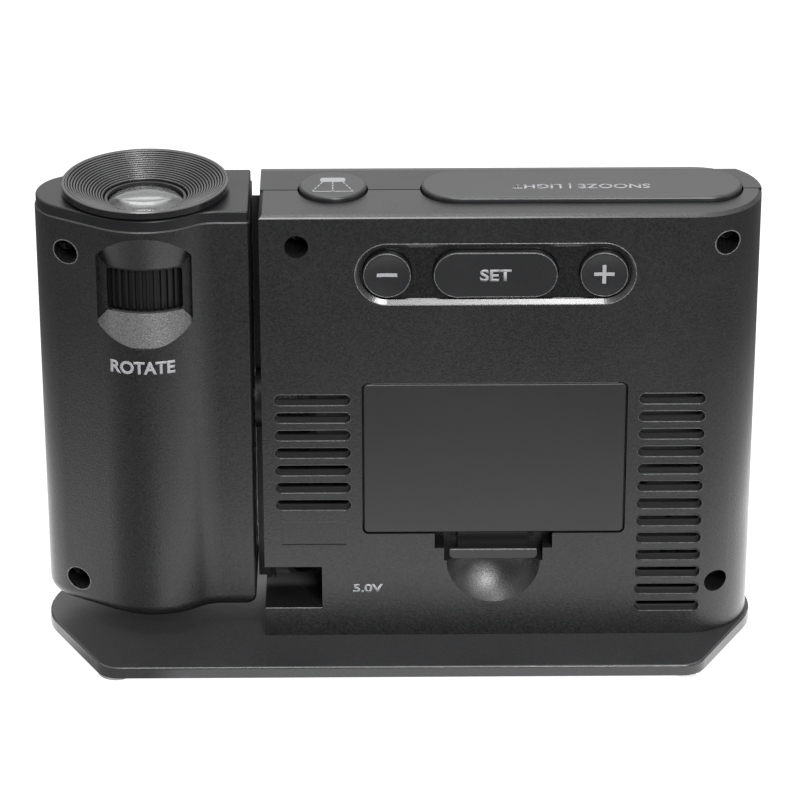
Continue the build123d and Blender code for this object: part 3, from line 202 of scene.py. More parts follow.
bpy.ops.mesh.primitive_plane_add(size=FLOOR_SIZE)
floor = bpy.context.object
floor.name = "studio_floor"
paper = bpy.data.materials.new("white_paper")
paper.use_nodes = True
tree = paper.node_tree
tree.nodes.clear()
matt = tree.nodes.new("ShaderNodeBsdfDiffuse")
matt.inputs["Color"].default_value = (FLOOR_MATT, FLOOR_MATT, FLOOR_MATT, 1)
glow = tree.nodes.new("ShaderNodeEmission")
glow.inputs["Color"].default_value = (1, 1, 1, 1)
path = tree.nodes.new("ShaderNodeLightPath")
seen = blend(tree, "MAXIMUM", path.outputs["Is Camera Ray"], path.outputs["Is Transmission Ray"])
x, y, z = axes(tree)
outside = blend(tree, "SUBTRACT", blend(tree, "ABSOLUTE", x, 0.0), CLOCK_HALF)
away = distance(tree, blend(tree, "MAXIMUM", outside, 0.0), y)
fade = ramped(tree, away, (MIRROR_NEAR, MIRROR_FAR), (MIRROR_BRIGHT, MIRROR_DARK))
angle = blend(tree, "ARCTAN2", blend(tree, "SUBTRACT", x, ARM_X), y)
full_turn = blend(tree, "ADD", blend(tree, "DIVIDE", angle, 2 * math.pi), 0.5)
sector = tree.nodes.new("ShaderNodeValToRGB")
for position, level in SECTOR:
    stop = sector.color_ramp.elements.new(position)
    stop.color = (level, level, level, 1)
sector.color_ramp.elements[0].color = (1, 1, 1, 1)
tree.links.new(full_turn, sector.inputs["Fac"])
shaded = blend(tree, "MULTIPLY", fade, sector.outputs["Color"])
mirrored = blend(tree, "MULTIPLY", shaded, path.outputs["Is Glossy Ray"])
direct = blend(tree, "MULTIPLY", seen, FLOOR_GLOW)
tree.links.new(blend(tree, "ADD", mirrored, direct), glow.inputs["Strength"])
both = tree.nodes.new("ShaderNodeAddShader")
tree.links.new(matt.outputs[0], both.inputs[0])
tree.links.new(glow.outputs[0], both.inputs[1])
paper_out = tree.nodes.new("ShaderNodeOutputMaterial")
tree.links.new(both.outputs[0], paper_out.inputs["Surface"])
floor.data.materials.append(paper)
floor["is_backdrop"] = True
print("floor nodes:", len(tree.nodes))

# %% [markdown]
# One softbox hangs high on the camera's side, and its light catches every bevel that faces up.
# The strongest stands behind the camera, above it and to one side.
# It brightens the gentle slopes of the scoop and of the button recess.
# One lights the top from the far side, one hangs above for the funnel, and two stand at the ends.

# %% Soft lamps
LAMPS = (
    ("lamp_above", (0.1, 0.5, 1.1), (0, 0, 0.05), 0.35, 6.0),
    ("lamp_behind", (-0.33, 1.18, 0.84), (0, 0, 0.06), 0.5, 25.0),
    ("lamp_far", (0.0, -0.9, 0.75), (0, 0, 0.10), 0.8, 1.2),
    ("lamp_over", (0.05, -0.35, 1.1), (0.05, 0, 0.10), 0.4, 3.0),
    ("lamp_left", (1.0, 0.5, 0.35), (0, 0, 0.06), 0.5, 1.2),
    ("lamp_right", (-1.0, 0.3, 0.35), (0, 0, 0.06), 0.5, 1.5),
)
for name, place, target, size, power in LAMPS:
    bpy.ops.object.light_add(type="AREA", location=place)
    lamp = bpy.context.object
    lamp.name = name
    lamp.data.shape = "SQUARE"
    lamp.data.size = size
    lamp.data.energy = power
    aim = Vector(target) - Vector(place)
    lamp.rotation_euler = aim.to_track_quat("-Z", "Y").to_euler()
print("lamps:", len(LAMPS))

# %% [markdown]
# The casings are dark moulded plastic with a fine grain.
# A picture of grain would stretch and repeat, so noise on the clock's own coordinates is used.
# Noise mostly stays between 0.3 and 0.7, so its colours and levels are spread over that reach.

# %% Finish tools
NOISE_REACH = (0.3, 0.7)


def principled(name):
    """A new material, its tree and its main shader."""
    finish = bpy.data.materials.new(name)
    finish.use_nodes = True
    shader = finish.node_tree.nodes["Principled BSDF"]
    return finish, finish.node_tree, shader


def noise(tree, scale, detail=2.0):
    """A noise pattern on object coordinates, its scale in cells per metre."""
    place = tree.nodes.new("ShaderNodeTexCoord")
    pattern = tree.nodes.new("ShaderNodeTexNoise")
    pattern.inputs["Scale"].default_value = scale
    pattern.inputs["Detail"].default_value = detail
    tree.links.new(place.outputs["Object"], pattern.inputs["Vector"])
    return pattern.outputs["Fac"]


def spread(tree, value, low, high):
    """A value from noise, spread between two limits."""
    return ramped(tree, value, NOISE_REACH, (low, high), "LINEAR")


def tinted(tree, value, low, high):
    """A colour between two colours, picked by a value."""
    ramp = tree.nodes.new("ShaderNodeValToRGB")
    for stop, position, color in zip(ramp.color_ramp.elements, NOISE_REACH, (low, high)):
        stop.position = position
        stop.color = (*color, 1)
    tree.links.new(value, ramp.inputs["Fac"])
    return ramp.outputs["Color"]


def mixed(tree, mask, first, second):
    """One colour where a mask is zero and another where it is one."""
    mix = tree.nodes.new("ShaderNodeMixRGB")
    tree.links.new(mask, mix.inputs[0])
    tree.links.new(first, mix.inputs[1])
    if isinstance(second, tuple):
        mix.inputs[2].default_value = (*second, 1)
    else:
        tree.links.new(second, mix.inputs[2])
    return mix.outputs[0]


def bumped(tree, shader, value, depth, strength):
    """Relief on a shader, its depth in metres."""
    bump = tree.nodes.new("ShaderNodeBump")
    bump.inputs["Distance"].default_value = depth
    bump.inputs["Strength"].default_value = strength
    tree.links.new(value, bump.inputs["Height"])
    tree.links.new(bump.outputs["Normal"], shader.inputs["Normal"])


print("finish tools ready")

# %% [markdown]
# Some places on one solid look different from the rest of it.
# The solid could be cut into parts, but then it would no longer be the CAD model's own.
# A mask works instead: one inside a box, a slope or a spot, and zero outside.

# %% Masks
WHEEL_AXIS_X = 57.7 * MM
WHEEL_HALF = 8.55 * MM
SLOPE_TOP = 87.75 * MM
SLOPE_BOTTOM = 79.5 * MM
SLOPE_SIDE = 1.16
SHELL_RADIUS = 18.1 * MM
EDGE = 0.05 * MM
SPOT_X = -19.2 * MM
SPOT_Z = 17.6 * MM
SPOT_FADE = (0.5 * MM, 5.0 * MM)
SPOT_SUNK = (14.8 * MM, 15.1 * MM)


def inside(tree, low_mm, high_mm, soft_mm=0.02):
    """One inside a box in object coordinates and zero outside it."""
    both = None
    for value, low, high in zip(axes(tree), low_mm, high_mm):
        for edge, levels in ((low, (0, 1)), (high, (1, 0))):
            side = ramped(tree, value, ((edge - soft_mm) * MM, (edge + soft_mm) * MM), levels)
            both = side if both is None else blend(tree, "MULTIPLY", both, side)
    return both


def below_wheel(tree):
    """One on the lower slope of the recess round the wheel and zero elsewhere."""
    x, y, z = axes(tree)
    aside = blend(tree, "ABSOLUTE", blend(tree, "SUBTRACT", x, WHEEL_AXIS_X), 0.0)
    past_window = blend(tree, "MAXIMUM", blend(tree, "SUBTRACT", aside, WHEEL_HALF), 0.0)
    height = blend(tree, "ADD", z, blend(tree, "MULTIPLY", past_window, SLOPE_SIDE))
    radius = distance(tree, aside, y)
    sunk = ramped(tree, radius, (SHELL_RADIUS - EDGE, SHELL_RADIUS + EDGE), (1, 0))
    under = ramped(tree, height, (SLOPE_TOP - EDGE, SLOPE_TOP + EDGE), (1, 0))
    over = ramped(tree, z, (SLOPE_BOTTOM - EDGE, SLOPE_BOTTOM + EDGE), (0, 1))
    return blend(tree, "MULTIPLY", blend(tree, "MULTIPLY", sunk, under), over)


def scoop_spot(tree):
    """One in the middle of the bright spot in the scoop, fading to zero around it."""
    x, y, z = axes(tree)
    across = blend(tree, "SUBTRACT", x, SPOT_X)
    along = blend(tree, "SUBTRACT", z, SPOT_Z)
    near = ramped(tree, distance(tree, across, along), SPOT_FADE, (1, 0))
    return blend(tree, "MULTIPLY", near, ramped(tree, y, SPOT_SUNK, (1, 0)))


print("masks ready")

# %% [markdown]
# One recipe serves every plastic: its colour, shine, grain and contrast are what differ.
# Each could have its own tree, but one recipe keeps the plastics alike and short to write.
# A polished place loses its grain and its roughness, and a pale place takes a tint that is painted
# light.

# %% Plastic recipe
POLISHED = 0.2
SHINE_SPREAD = 0.04
CLOUDS_PER_MM = 0.05


def plastic(name, color, roughness, grain_per_mm, grain_depth_mm, strength, gloss=0.35,
            polished=(), pale=(), contrast=0.18):
    """Moulded plastic: speckled colour, uneven shine, a fine grain, some polished places and some
    places of painted light.
    """
    finish, tree, shader = principled(name)
    speckle = noise(tree, grain_per_mm / MM)
    darker = tuple((1 - contrast) * c for c in color)
    lighter = tuple((1 + contrast) * c for c in color)
    surface = tinted(tree, speckle, darker, lighter)
    cloudy = noise(tree, CLOUDS_PER_MM / MM, 4.0)
    shine = spread(tree, cloudy, roughness - SHINE_SPREAD, roughness + SHINE_SPREAD)
    relief = None
    for low, high in polished:
        box = inside(tree, low, high)
        less = blend(tree, "MULTIPLY", box, roughness - POLISHED)
        shine = blend(tree, "SUBTRACT", shine, less)
        rest = blend(tree, "SUBTRACT", 1.0, box)
        relief = rest if relief is None else blend(tree, "MULTIPLY", relief, rest)
    # Each pale box is painted light: a paler tint for light that the place catches.
    for low, high, soft, tint in pale:
        surface = mixed(tree, inside(tree, low, high, soft), surface, tint)
    tree.links.new(surface, shader.inputs["Base Color"])
    tree.links.new(shine, shader.inputs["Roughness"])
    shader.inputs["Specular IOR Level"].default_value = gloss
    bumped(tree, shader, speckle, grain_depth_mm * MM, strength)
    if relief is not None:
        bump = shader.inputs["Normal"].links[0].from_node
        tree.links.new(blend(tree, "MULTIPLY", relief, strength), bump.inputs["Strength"])
    return finish


print("plastic recipe ready")

# %% [markdown]
# On the casing the button recess and the bevel along the top shine more than the face.
# The walls inside the vents and the deep end of the socket's floor get painted light: a paler tint
# stands for the light they catch.
# Each place is a box, given by its low and high corners in mm.

# %% Casing
BUTTON_RECESS = ((-54.5, 13.0, 88.0), (11.5, 15.17, 105.5))
TOP_BEVEL = ((-68.0, 14.3, 110.45), (33.0, 15.18, 110.8))
# These three boxes are painted light: paler tints for the light that falls into the socket and the
# vents.
SOCKET_FLOOR_LIGHT = ((17.0, -4.0, 8.0), (33.0, 3.0, 12.5), 2.0, (0.09, 0.09, 0.09))
LEFT_VENT_LIGHT = ((10.0, 13.1, 36.0), (30.0, 15.1, 67.5), 0.03, (0.014, 0.014, 0.014))
RIGHT_VENT_LIGHT = ((-70.3, 13.1, 9.0), (-54.0, 14.8, 67.5), 0.03, (0.014, 0.014, 0.014))

case_plastic = plastic("grained_case", (0.006, 0.0061, 0.0064), 0.38, 2.4, 0.06, 1.0,
                       polished=(BUTTON_RECESS, TOP_BEVEL),
                       pale=(SOCKET_FLOOR_LIGHT, LEFT_VENT_LIGHT, RIGHT_VENT_LIGHT), contrast=0.95)
print("casing nodes:", len(case_plastic.node_tree.nodes))

# %% [markdown]
# The slope below the wheel and a spot in the scoop are bright reflections in the photograph.
# Stronger lamps could brighten them too, but they would also light the face around them.
# So speckled paint stands for them here, and it stays pale from every side.

# %% Painted reflections
PAINT_GRAIN = 3.0
SLOPE_PAINT = ((0.05, 0.05, 0.051), (0.12, 0.12, 0.122))
SPOT_PAINT = ((0.06, 0.06, 0.061), (0.16, 0.16, 0.162))

tree = case_plastic.node_tree
base_color = tree.nodes["Principled BSDF"].inputs["Base Color"]
for mask, (low, high) in ((below_wheel, SLOPE_PAINT), (scoop_spot, SPOT_PAINT)):
    paint = tinted(tree, noise(tree, PAINT_GRAIN / MM), low, high)
    under_paint = base_color.links[0].from_socket
    tree.links.new(mixed(tree, mask(tree), under_paint, paint), base_color)
print("casing nodes with paint:", len(tree.nodes))

# %% [markdown]
# The other plastics come from the same recipe: the base, the cover, caps, buttons and rings.
# Slim edges get paler ones, a painted highlight for the light that a rounded edge always catches.

# %% Other plastics
PLATE_EDGE = ((-90.0, -35.0, 3.4), (90.0, 35.0, 3.98))

front_plastic = plastic("smooth_case", (0.015, 0.0152, 0.016), 0.38, 3.0, 0.015, 0.5, 0.25)
base_plastic = plastic("grained_base", (0.020, 0.0202, 0.0212), 0.42, 2.4, 0.045, 1.0,
                       polished=(PLATE_EDGE,), contrast=0.35)
cover_plastic = plastic("satin_cover", (0.006, 0.0061, 0.0065), 0.42, 4.0, 0.01, 0.4)
cap_plastic = plastic("satin_cap", (0.010, 0.0102, 0.011), 0.36, 3.0, 0.015, 0.5, 0.2)
button_plastic = plastic("satin_button", (0.010, 0.0102, 0.011), 0.34, 3.4, 0.015, 0.5)
# These two pale finishes are painted highlights, on the rings and rods that stand for rounded
# edges.
faint_edge_highlight = plastic("faint_highlight_paint", (0.030, 0.030, 0.031), 0.22, 2.0, 0.004, 0.3, contrast=0.3)
strong_edge_highlight = plastic("strong_highlight_paint", (0.12, 0.12, 0.122), 0.25, 2.0, 0.004, 0.3, contrast=0.5)
gloss_plastic = plastic("polished_black", (0.008, 0.008, 0.009), 0.12, 1.0, 0.002, 0.15, 0.5)
ring_plastic = plastic("polished_ring", (0.010, 0.010, 0.011), 0.24, 2.0, 0.001, 0.1, 0.5)
wheel_rubber = plastic("ribbed_rubber", (0.004, 0.004, 0.0042), 0.42, 3.0, 0.01, 0.4, 0.25)
inner_plastic = plastic("plain_black", (0.012, 0.012, 0.013), 0.5, 2.0, 0.01, 0.3)
key_rubber = plastic("grey_rubber", (0.25, 0.25, 0.26), 0.6, 2.0, 0.01, 0.3)
print("materials so far:", len(bpy.data.materials))

# %% [markdown]
# Hidden parts are seen through the vents, with the cover open, or with the arm tilted.
# Metal and glass could be plain shiny colours, but uneven polish makes them look real.

# %% Metal and glass
METAL_SPREAD = 0.06
GLASS_SPREAD = 0.01
DULL = 0.85


def metal(name, color, roughness, streaks_per_mm=3.0):
    """Plated metal with faint uneven polish."""
    finish, tree, shader = principled(name)
    shader.inputs["Metallic"].default_value = 1.0
    fine = noise(tree, streaks_per_mm / MM, 3.0)
    dull = tuple(DULL * c for c in color)
    uneven = spread(tree, fine, roughness - METAL_SPREAD, roughness + METAL_SPREAD)
    tree.links.new(tinted(tree, fine, dull, color), shader.inputs["Base Color"])
    tree.links.new(uneven, shader.inputs["Roughness"])
    bumped(tree, shader, fine, 0.004 * MM, 0.3)
    return finish


def clear(name, color, roughness, ior, grain_per_mm):
    """Glass or clear plastic with a slightly uneven surface."""
    finish, tree, shader = principled(name)
    shader.inputs["Base Color"].default_value = (*color, 1)
    shader.inputs["Transmission Weight"].default_value = 1.0
    shader.inputs["IOR"].default_value = ior
    fine = noise(tree, grain_per_mm / MM)
    low = max(roughness - GLASS_SPREAD, 0.0)
    tree.links.new(spread(tree, fine, low, roughness + GLASS_SPREAD), shader.inputs["Roughness"])
    return finish


steel = metal("plated_steel", (0.62, 0.62, 0.63), 0.3)
black_steel = metal("blackened_steel", (0.02, 0.02, 0.021), 0.45)
nickel = metal("nickel_plate", (0.72, 0.70, 0.66), 0.25)
copper = metal("copper_wire", (0.72, 0.34, 0.16), 0.3, 6.0)
lens_glass = clear("lens_glass", (0.34, 0.35, 0.35), 0.0, 1.5, 0.5)
window_glass = clear("smoked_window", (0.55, 0.57, 0.60), 0.02, 1.49, 0.5)
red_glass = clear("lamp_glass", (0.9, 0.25, 0.2), 0.1, 1.45, 0.5)
print("materials so far:", len(bpy.data.materials))

# %% [markdown]
# Silicone feet, boards, cells and the ferrite rod each waver between two colours.
# One recipe covers them: a noise pattern picks the colour, and may lift the surface too.

# %% Silicone, boards and cells
def speckled(name, low, high, roughness, grain_per_mm, detail, relief=None, more=()):
    """A finish between two colours, with relief as depth in mm and strength."""
    finish, tree, shader = principled(name)
    pattern = noise(tree, grain_per_mm / MM, detail)
    tree.links.new(tinted(tree, pattern, low, high), shader.inputs["Base Color"])
    shader.inputs["Roughness"].default_value = roughness
    for socket, value in more:
        shader.inputs[socket].default_value = value
    if relief is not None:
        bumped(tree, shader, pattern, relief[0] * MM, relief[1])
    return finish


silicone = speckled("clear_silicone", (0.36, 0.36, 0.35), (0.46, 0.46, 0.45), 0.35, 1.2, 2.0,
                    (0.01, 0.3), (("Transmission Weight", 0.35), ("Subsurface Weight", 0.3),
                                  ("Subsurface Radius", (0.002, 0.002, 0.002))))
board_black = speckled("circuit_board", (0.006, 0.007, 0.008), (0.014, 0.016, 0.018), 0.35,
                       0.9, 0.0, (0.03, 0.4))
cell_sleeve = speckled("cell_sleeve", (0.06, 0.065, 0.075), (0.10, 0.105, 0.12), 0.3, 0.4, 3.0,
                       (0.004, 0.2), (("Metallic", 0.4),))
ferrite = speckled("ferrite", (0.03, 0.03, 0.031), (0.06, 0.06, 0.062), 0.7, 1.5, 4.0,
                   (0.03, 0.5))
dark_panel = speckled("display_dark", (0.012, 0.014, 0.017), (0.016, 0.018, 0.022), 0.25,
                      4.0, 1.0)
print("materials so far:", len(bpy.data.materials))

# %% [markdown]
# Each solid of the CAD model takes one of these finishes.
# Finishes could be given one solid at a time, but one table shows what shares a material.
# The mesh stays as it is, and only its material slot changes.

# %% Finish every solid
FINISHES = {
    case_plastic: "rear_shell arm_rear_shell",
    front_plastic: "front_shell arm_front_shell",
    base_plastic: "base_plate",
    cover_plastic: "battery_cover",
    cap_plastic: "arm_cap",
    button_plastic: "minus_button set_button plus_button projector_button snooze_bar",
    gloss_plastic: "front_bezel",
    ring_plastic: "focus_ring",
    wheel_rubber: "rotate_wheel",
    inner_plastic: "power_jack controller_chip top_switches sounder lens_barrel lens_mount "
                   "lamp_housing hinge_axle button_board_stand antenna_saddles hinge_washer "
                   "display_backlight",
    key_rubber: "keypad_mat",
    steel: "base_screws",
    black_steel: "rear_screws arm_screws board_screws hinge_clip",
    nickel: "battery_contacts battery_springs jack_pin",
    copper: "antenna_coil",
    lens_glass: "projection_lens condenser_lens",
    window_glass: "display_window",
    red_glass: "lamp",
    silicone: "base_feet",
    board_black: "main_board button_board top_board lamp_board",
    cell_sleeve: "battery_cells",
    ferrite: "antenna_rod",
    dark_panel: "display_panel image_panel",
}
finished = set()
for finish, names in FINISHES.items():
    for name in names.split():
        solid = nodes[name].data
        solid.materials.clear()
        solid.materials.append(finish)
        finished.add(name)
print("finished solids:", len(finished), "left:", sorted(set(nodes) - finished))

# %% [markdown]
# Words and signs are printed in light grey ink, a thin layer that stands on the plastic.
# They could be painted by a texture, but a thin solid is sharper and exports as a mesh.
# Each word is typed, made a mesh, fitted to its measured width and height, and laid in place.

# %% Print tools
INK_THICKNESS = 0.04 * MM
LETTER_STEPS = 6
REAR_FACING = (math.radians(90), 0, math.radians(180))
UPWARD = (0, 0, 0)

ink = speckled("grey_ink", (0.25, 0.25, 0.26), (0.31, 0.31, 0.32), 0.55, 5.0, 2.0, (0.004, 0.3))


def only(piece):
    """Make one object the only selected and active one."""
    bpy.ops.object.select_all(action="DESELECT")
    piece.select_set(True)
    bpy.context.view_layer.objects.active = piece


def fixed(piece):
    """Put a piece's place, turn and size into its mesh."""
    only(piece)
    bpy.ops.object.transform_apply(location=True, rotation=True, scale=True)
    return piece


def settle(piece, name, body, finish):
    """Name a piece, put its place in its mesh, and let it ride on a body."""
    fixed(piece)
    piece.name = name
    piece.data.name = name
    piece.data.materials.clear()
    piece.data.materials.append(finish)
    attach(piece, body)
    return piece


def typed(words, width, height, weight=0.0):
    """A flat word, made a mesh and fitted to a width and height about the origin."""
    bpy.ops.object.text_add()
    text = bpy.context.object
    text.data.body = words
    text.data.size = height
    text.data.offset = weight * height
    text.data.resolution_u = LETTER_STEPS
    bpy.ops.object.convert(target="MESH")
    word = bpy.context.object
    bpy.ops.object.origin_set(type="ORIGIN_GEOMETRY", center="BOUNDS")
    word.scale = (width / word.dimensions.x, height / word.dimensions.y, 1)
    word.location = (0, 0, 0)
    return fixed(word)


def thicken(piece, thickness):
    """Give a flat print its layer of ink, outwards."""
    only(piece)
    layer = piece.modifiers.new("ink", "SOLIDIFY")
    layer.thickness = thickness
    layer.offset = 1.0
    bpy.ops.object.modifier_apply(modifier=layer.name)


def printed(name, words, size, place, turn, body, weight=0.0):
    """A printed word on a flat face."""
    word = typed(words, size[0], size[1], weight)
    thicken(word, INK_THICKNESS)
    word.rotation_euler = turn
    word.location = place
    return settle(word, name, body, ink)


print("ink:", ink.name)

# %% [markdown]
# The middle button carries a word, the socket its voltage, and the bar on top two words.
# They could be one print, but each rides on what it is printed on and moves with a press.

# %% Words on flat faces
SET_SIZE = (7.1 * MM, 2.9 * MM)
VOLTAGE_SIZE = (7.0 * MM, 2.2 * MM)
VOLTAGE_PLACE = (7.6 * MM, 16.5 * MM)
SNOOZE_SIZE = (31.3 * MM, 3.3 * MM)
SNOOZE_PLACE = (-41.2 * MM, 1.4 * MM)
rear_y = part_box("set_button")[1].y
body_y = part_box("battery_cover")[1].y


def middle(node):
    """The centre of a solid's box."""
    low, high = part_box(node)
    return (low + high) / 2


set_place = middle("set_button")
printed("set_word", "SET", SET_SIZE, (set_place.x, rear_y, set_place.z),
        REAR_FACING, "set_button", 0.03)
printed("voltage_word", "5.0V", VOLTAGE_SIZE, (VOLTAGE_PLACE[0], body_y, VOLTAGE_PLACE[1]),
        REAR_FACING, "base", 0.03)
snooze_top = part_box("snooze_bar")[1].z
printed("snooze_word", "SNOOZE | LIGHT", SNOOZE_SIZE, (*SNOOZE_PLACE, snooze_top),
        UPWARD, "snooze_bar", 0.02)
print("words on flat faces: 3")

# %% [markdown]
# The two round buttons are dished, and a flat sign would cut into the dish or float on it.
# Their signs are sliced into small squares and pressed onto the dish along Y.

# %% Signs on the round buttons
SIGN_LENGTH = 4.6 * MM
SIGN_STROKE = 0.85 * MM
SIGN_SQUARE = 0.6 * MM
ABOVE = 5.0 * MM
WRAP_GAP = 0.01 * MM
SIGNS = (("minus_sign", "minus_button", 1), ("plus_sign", "plus_button", 2))


def bar(size, place, turn_z=0.0):
    """A flat printed bar about a place, lying face up."""
    bpy.ops.mesh.primitive_plane_add(size=1, location=place)
    line = bpy.context.object
    line.scale = (size[0], size[1], 1)
    line.rotation_euler.z = turn_z
    return fixed(line)


def joined(pieces):
    """Several flat pieces as one."""
    bpy.ops.object.select_all(action="DESELECT")
    for piece in pieces:
        piece.select_set(True)
    bpy.context.view_layer.objects.active = pieces[0]
    bpy.ops.object.join()
    return bpy.context.object


def wrapped(piece, node, square):
    """Slice a flat print into small squares and press it along Y onto a solid."""
    only(piece)
    low = [min(v.co[k] for v in piece.data.vertices) for k in range(3)]
    high = [max(v.co[k] for v in piece.data.vertices) for k in range(3)]
    bpy.ops.object.mode_set(mode="EDIT")
    for axis, normal in ((0, (1, 0, 0)), (2, (0, 0, 1))):
        cuts = int((high[axis] - low[axis]) / square)
        for k in range(1, cuts + 1):
            place = [0, 0, 0]
            place[axis] = low[axis] + k * square
            bpy.ops.mesh.select_all(action="SELECT")
            bpy.ops.mesh.bisect(plane_co=place, plane_no=normal)
    bpy.ops.object.mode_set(mode="OBJECT")
    wrap = piece.modifiers.new("wrap", "SHRINKWRAP")
    wrap.target = nodes[node]
    wrap.wrap_method = "PROJECT"
    wrap.use_project_y = True
    wrap.use_negative_direction = True
    wrap.use_positive_direction = False
    wrap.offset = WRAP_GAP
    bpy.ops.object.modifier_apply(modifier=wrap.name)
    thicken(piece, INK_THICKNESS)


for name, node, strokes in SIGNS:
    lines = [bar((SIGN_LENGTH, SIGN_STROKE), (0, 0, 0), k * math.pi / 2) for k in range(strokes)]
    sign = joined(lines)
    sign.rotation_euler = REAR_FACING
    sign.location = (middle(node).x, rear_y + ABOVE, middle(node).z)
    wrapped(fixed(sign), node, SIGN_SQUARE)
    settle(sign, name, node, ink)
print("signs:", len(SIGNS))

# %% [markdown]
# A moulded edge is never quite sharp, and its tiny rounding shows as a thin light line.
# Rounding the solids would change the CAD model, so slim rings and rods stand for it, and their
# pale finish is a painted highlight.
# A long ring starts as a torus, and its two halves are pulled apart.

# %% Edge tools
LINE = 0.13 * MM
RING_SIDES = 8
ROD_SIDES = 10
NEAR_MIDDLE = 0.01 * MM
REAR_TURN = (math.radians(90), 0, 0)


def pulled_apart(piece, half_length):
    """Move the two halves of a round piece apart along X."""
    for v in piece.data.vertices:
        if abs(v.co.x) > NEAR_MIDDLE:
            v.co.x += math.copysign(half_length, v.co.x)


def long_ring(length, height, thickness, arcs=32):
    """A slim ring about the origin with straight sides and round ends."""
    bpy.ops.mesh.primitive_torus_add(
        major_radius=height / 2, minor_radius=thickness, major_segments=arcs,
        minor_segments=RING_SIDES, rotation=(0, 0, math.pi / arcs))
    ring = fixed(bpy.context.object)
    pulled_apart(ring, (length - height) / 2)
    return ring


def line_between(start, end, thickness):
    """A slim straight rod between two points."""
    a, b = Vector(start), Vector(end)
    bpy.ops.mesh.primitive_cylinder_add(
        vertices=ROD_SIDES, radius=thickness, depth=(b - a).length)
    rod = bpy.context.object
    rod.rotation_euler = (0, math.pi / 2, 0)
    fixed(rod)
    rod.rotation_euler = (b - a).to_track_quat("X", "Z").to_euler()
    rod.location = (a + b) / 2
    return fixed(rod)


def level_line(ends_x, y, z, thickness):
    """A slim rod along X between two ends."""
    return line_between((ends_x[0], y, z), (ends_x[1], y, z), thickness)


def on_rear(piece, x, y, z):
    """Turn a ring to face the rear and put it at a place."""
    piece.rotation_euler = REAR_TURN
    piece.location = (x, y, z)
    return fixed(piece)


print("edge tools ready")

# %% [markdown]
# The mouths of the vents, the button recess and the buttons each get a ring.
# A curve with a bevel would do as well, but a torus is a mesh from the start.

# %% Light rings
VENTS = ((20.15, 17.7, 7), (-62.4, 15.4, 13))
VENT_TOP = 65.5
VENT_PITCH = 4.5
VENT_HEIGHT = 2.8
RECESS = (63.6 * MM, 15.1 * MM)
RECESS_PLACE = (-21.6 * MM, 96.8 * MM)
RECESS_LINE = 0.1 * MM
FLANGE = 0.9 * MM
BUTTON_INSET = 0.5 * MM
BUTTON_LINE = 0.08 * MM
BUTTON_SUNK = 0.06 * MM

rings = []
for x, width, count in VENTS:
    for k in range(count):
        ring = long_ring(width * MM, VENT_HEIGHT * MM, LINE)
        z = VENT_TOP - k * VENT_PITCH
        rings.append(on_rear(ring, x * MM, body_y, z * MM))
vent_rings = len(rings)
settle(joined(rings), "vent_edges", "base", faint_edge_highlight)

ring = long_ring(*RECESS, RECESS_LINE, 64)
ring = on_rear(ring, RECESS_PLACE[0], body_y, RECESS_PLACE[1])
settle(ring, "recess_edge", "base", strong_edge_highlight)

for node in ("minus_button", "set_button", "plus_button"):
    low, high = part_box(node)
    less = 2 * FLANGE + BUTTON_INSET
    ring = long_ring(high.x - low.x - less, high.z - low.z - less, BUTTON_LINE, 48)
    ring = on_rear(ring, middle(node).x, high.y - BUTTON_SUNK, middle(node).z)
    settle(ring, node + "_edge", node, strong_edge_highlight)
print("vent rings:", vent_rings)

# %% [markdown]
# The button recess has a polished lip that leans back and mirrors the lamp behind the camera.
# It could be cut by hand from the ring above, but a cone without ends has the slope already.
# It is pulled apart in the same way and given a wall.

# %% Lip of the button recess
LIP_DEPTH = 0.66 * MM
LIP_HEIGHT = 1.1 * MM
LIP_WALL = 0.15 * MM
LIP_ARCS = 64

bpy.ops.mesh.primitive_cone_add(
    vertices=LIP_ARCS, radius1=RECESS[1] / 2, radius2=RECESS[1] / 2 - LIP_HEIGHT,
    depth=LIP_DEPTH, end_fill_type="NOTHING", rotation=(0, 0, math.pi / LIP_ARCS))
lip = fixed(bpy.context.object)
pulled_apart(lip, (RECESS[0] - RECESS[1]) / 2)
bpy.ops.object.mode_set(mode="EDIT")
bpy.ops.mesh.select_all(action="SELECT")
bpy.ops.mesh.normals_make_consistent(inside=True)
bpy.ops.object.mode_set(mode="OBJECT")
wall = lip.modifiers.new("wall", "SOLIDIFY")
wall.thickness = LIP_WALL
wall.offset = -1.0
bpy.ops.object.modifier_apply(modifier=wall.name)
lip = on_rear(lip, RECESS_PLACE[0], body_y - LIP_DEPTH / 2, RECESS_PLACE[1])
lip_plastic = plastic("polished_lip", (0.020, 0.020, 0.021), 0.24, 2.0, 0.001, 0.2, 0.6)
settle(lip, "recess_lip", "base", lip_plastic)
print("lip faces:", len(lip.data.polygons))

# %% [markdown]
# The straight edges that catch light are slim rods: around the label place, on the latch,
# along the top of the battery cover, under the supply socket and under each vent.
# One rod is drawn between two points, which is simpler than bending a ring.

# %% Straight light edges
LABEL_PLACE = (20.0 * MM, 30.9 * MM)
LABEL_SIZE = (15.1 * MM, 6.1 * MM)
LABEL_LINE = 0.08 * MM
LABEL_SUNK = 0.03 * MM
SOCKET_X = (18.4 * MM, 31.5 * MM)
SOCKET_Z = 11.25 * MM
COVER_TOP = 69.6 * MM
COVER_END = 2 * MM
COVER_SUNK = 0.06 * MM
COVER_LINE = 0.1 * MM
LATCH_X = (-31.7 * MM, -11.7 * MM)
LATCH_Y = 14.75 * MM
LATCH_Z = 26.35 * MM
LATCH_LINE = 0.2 * MM


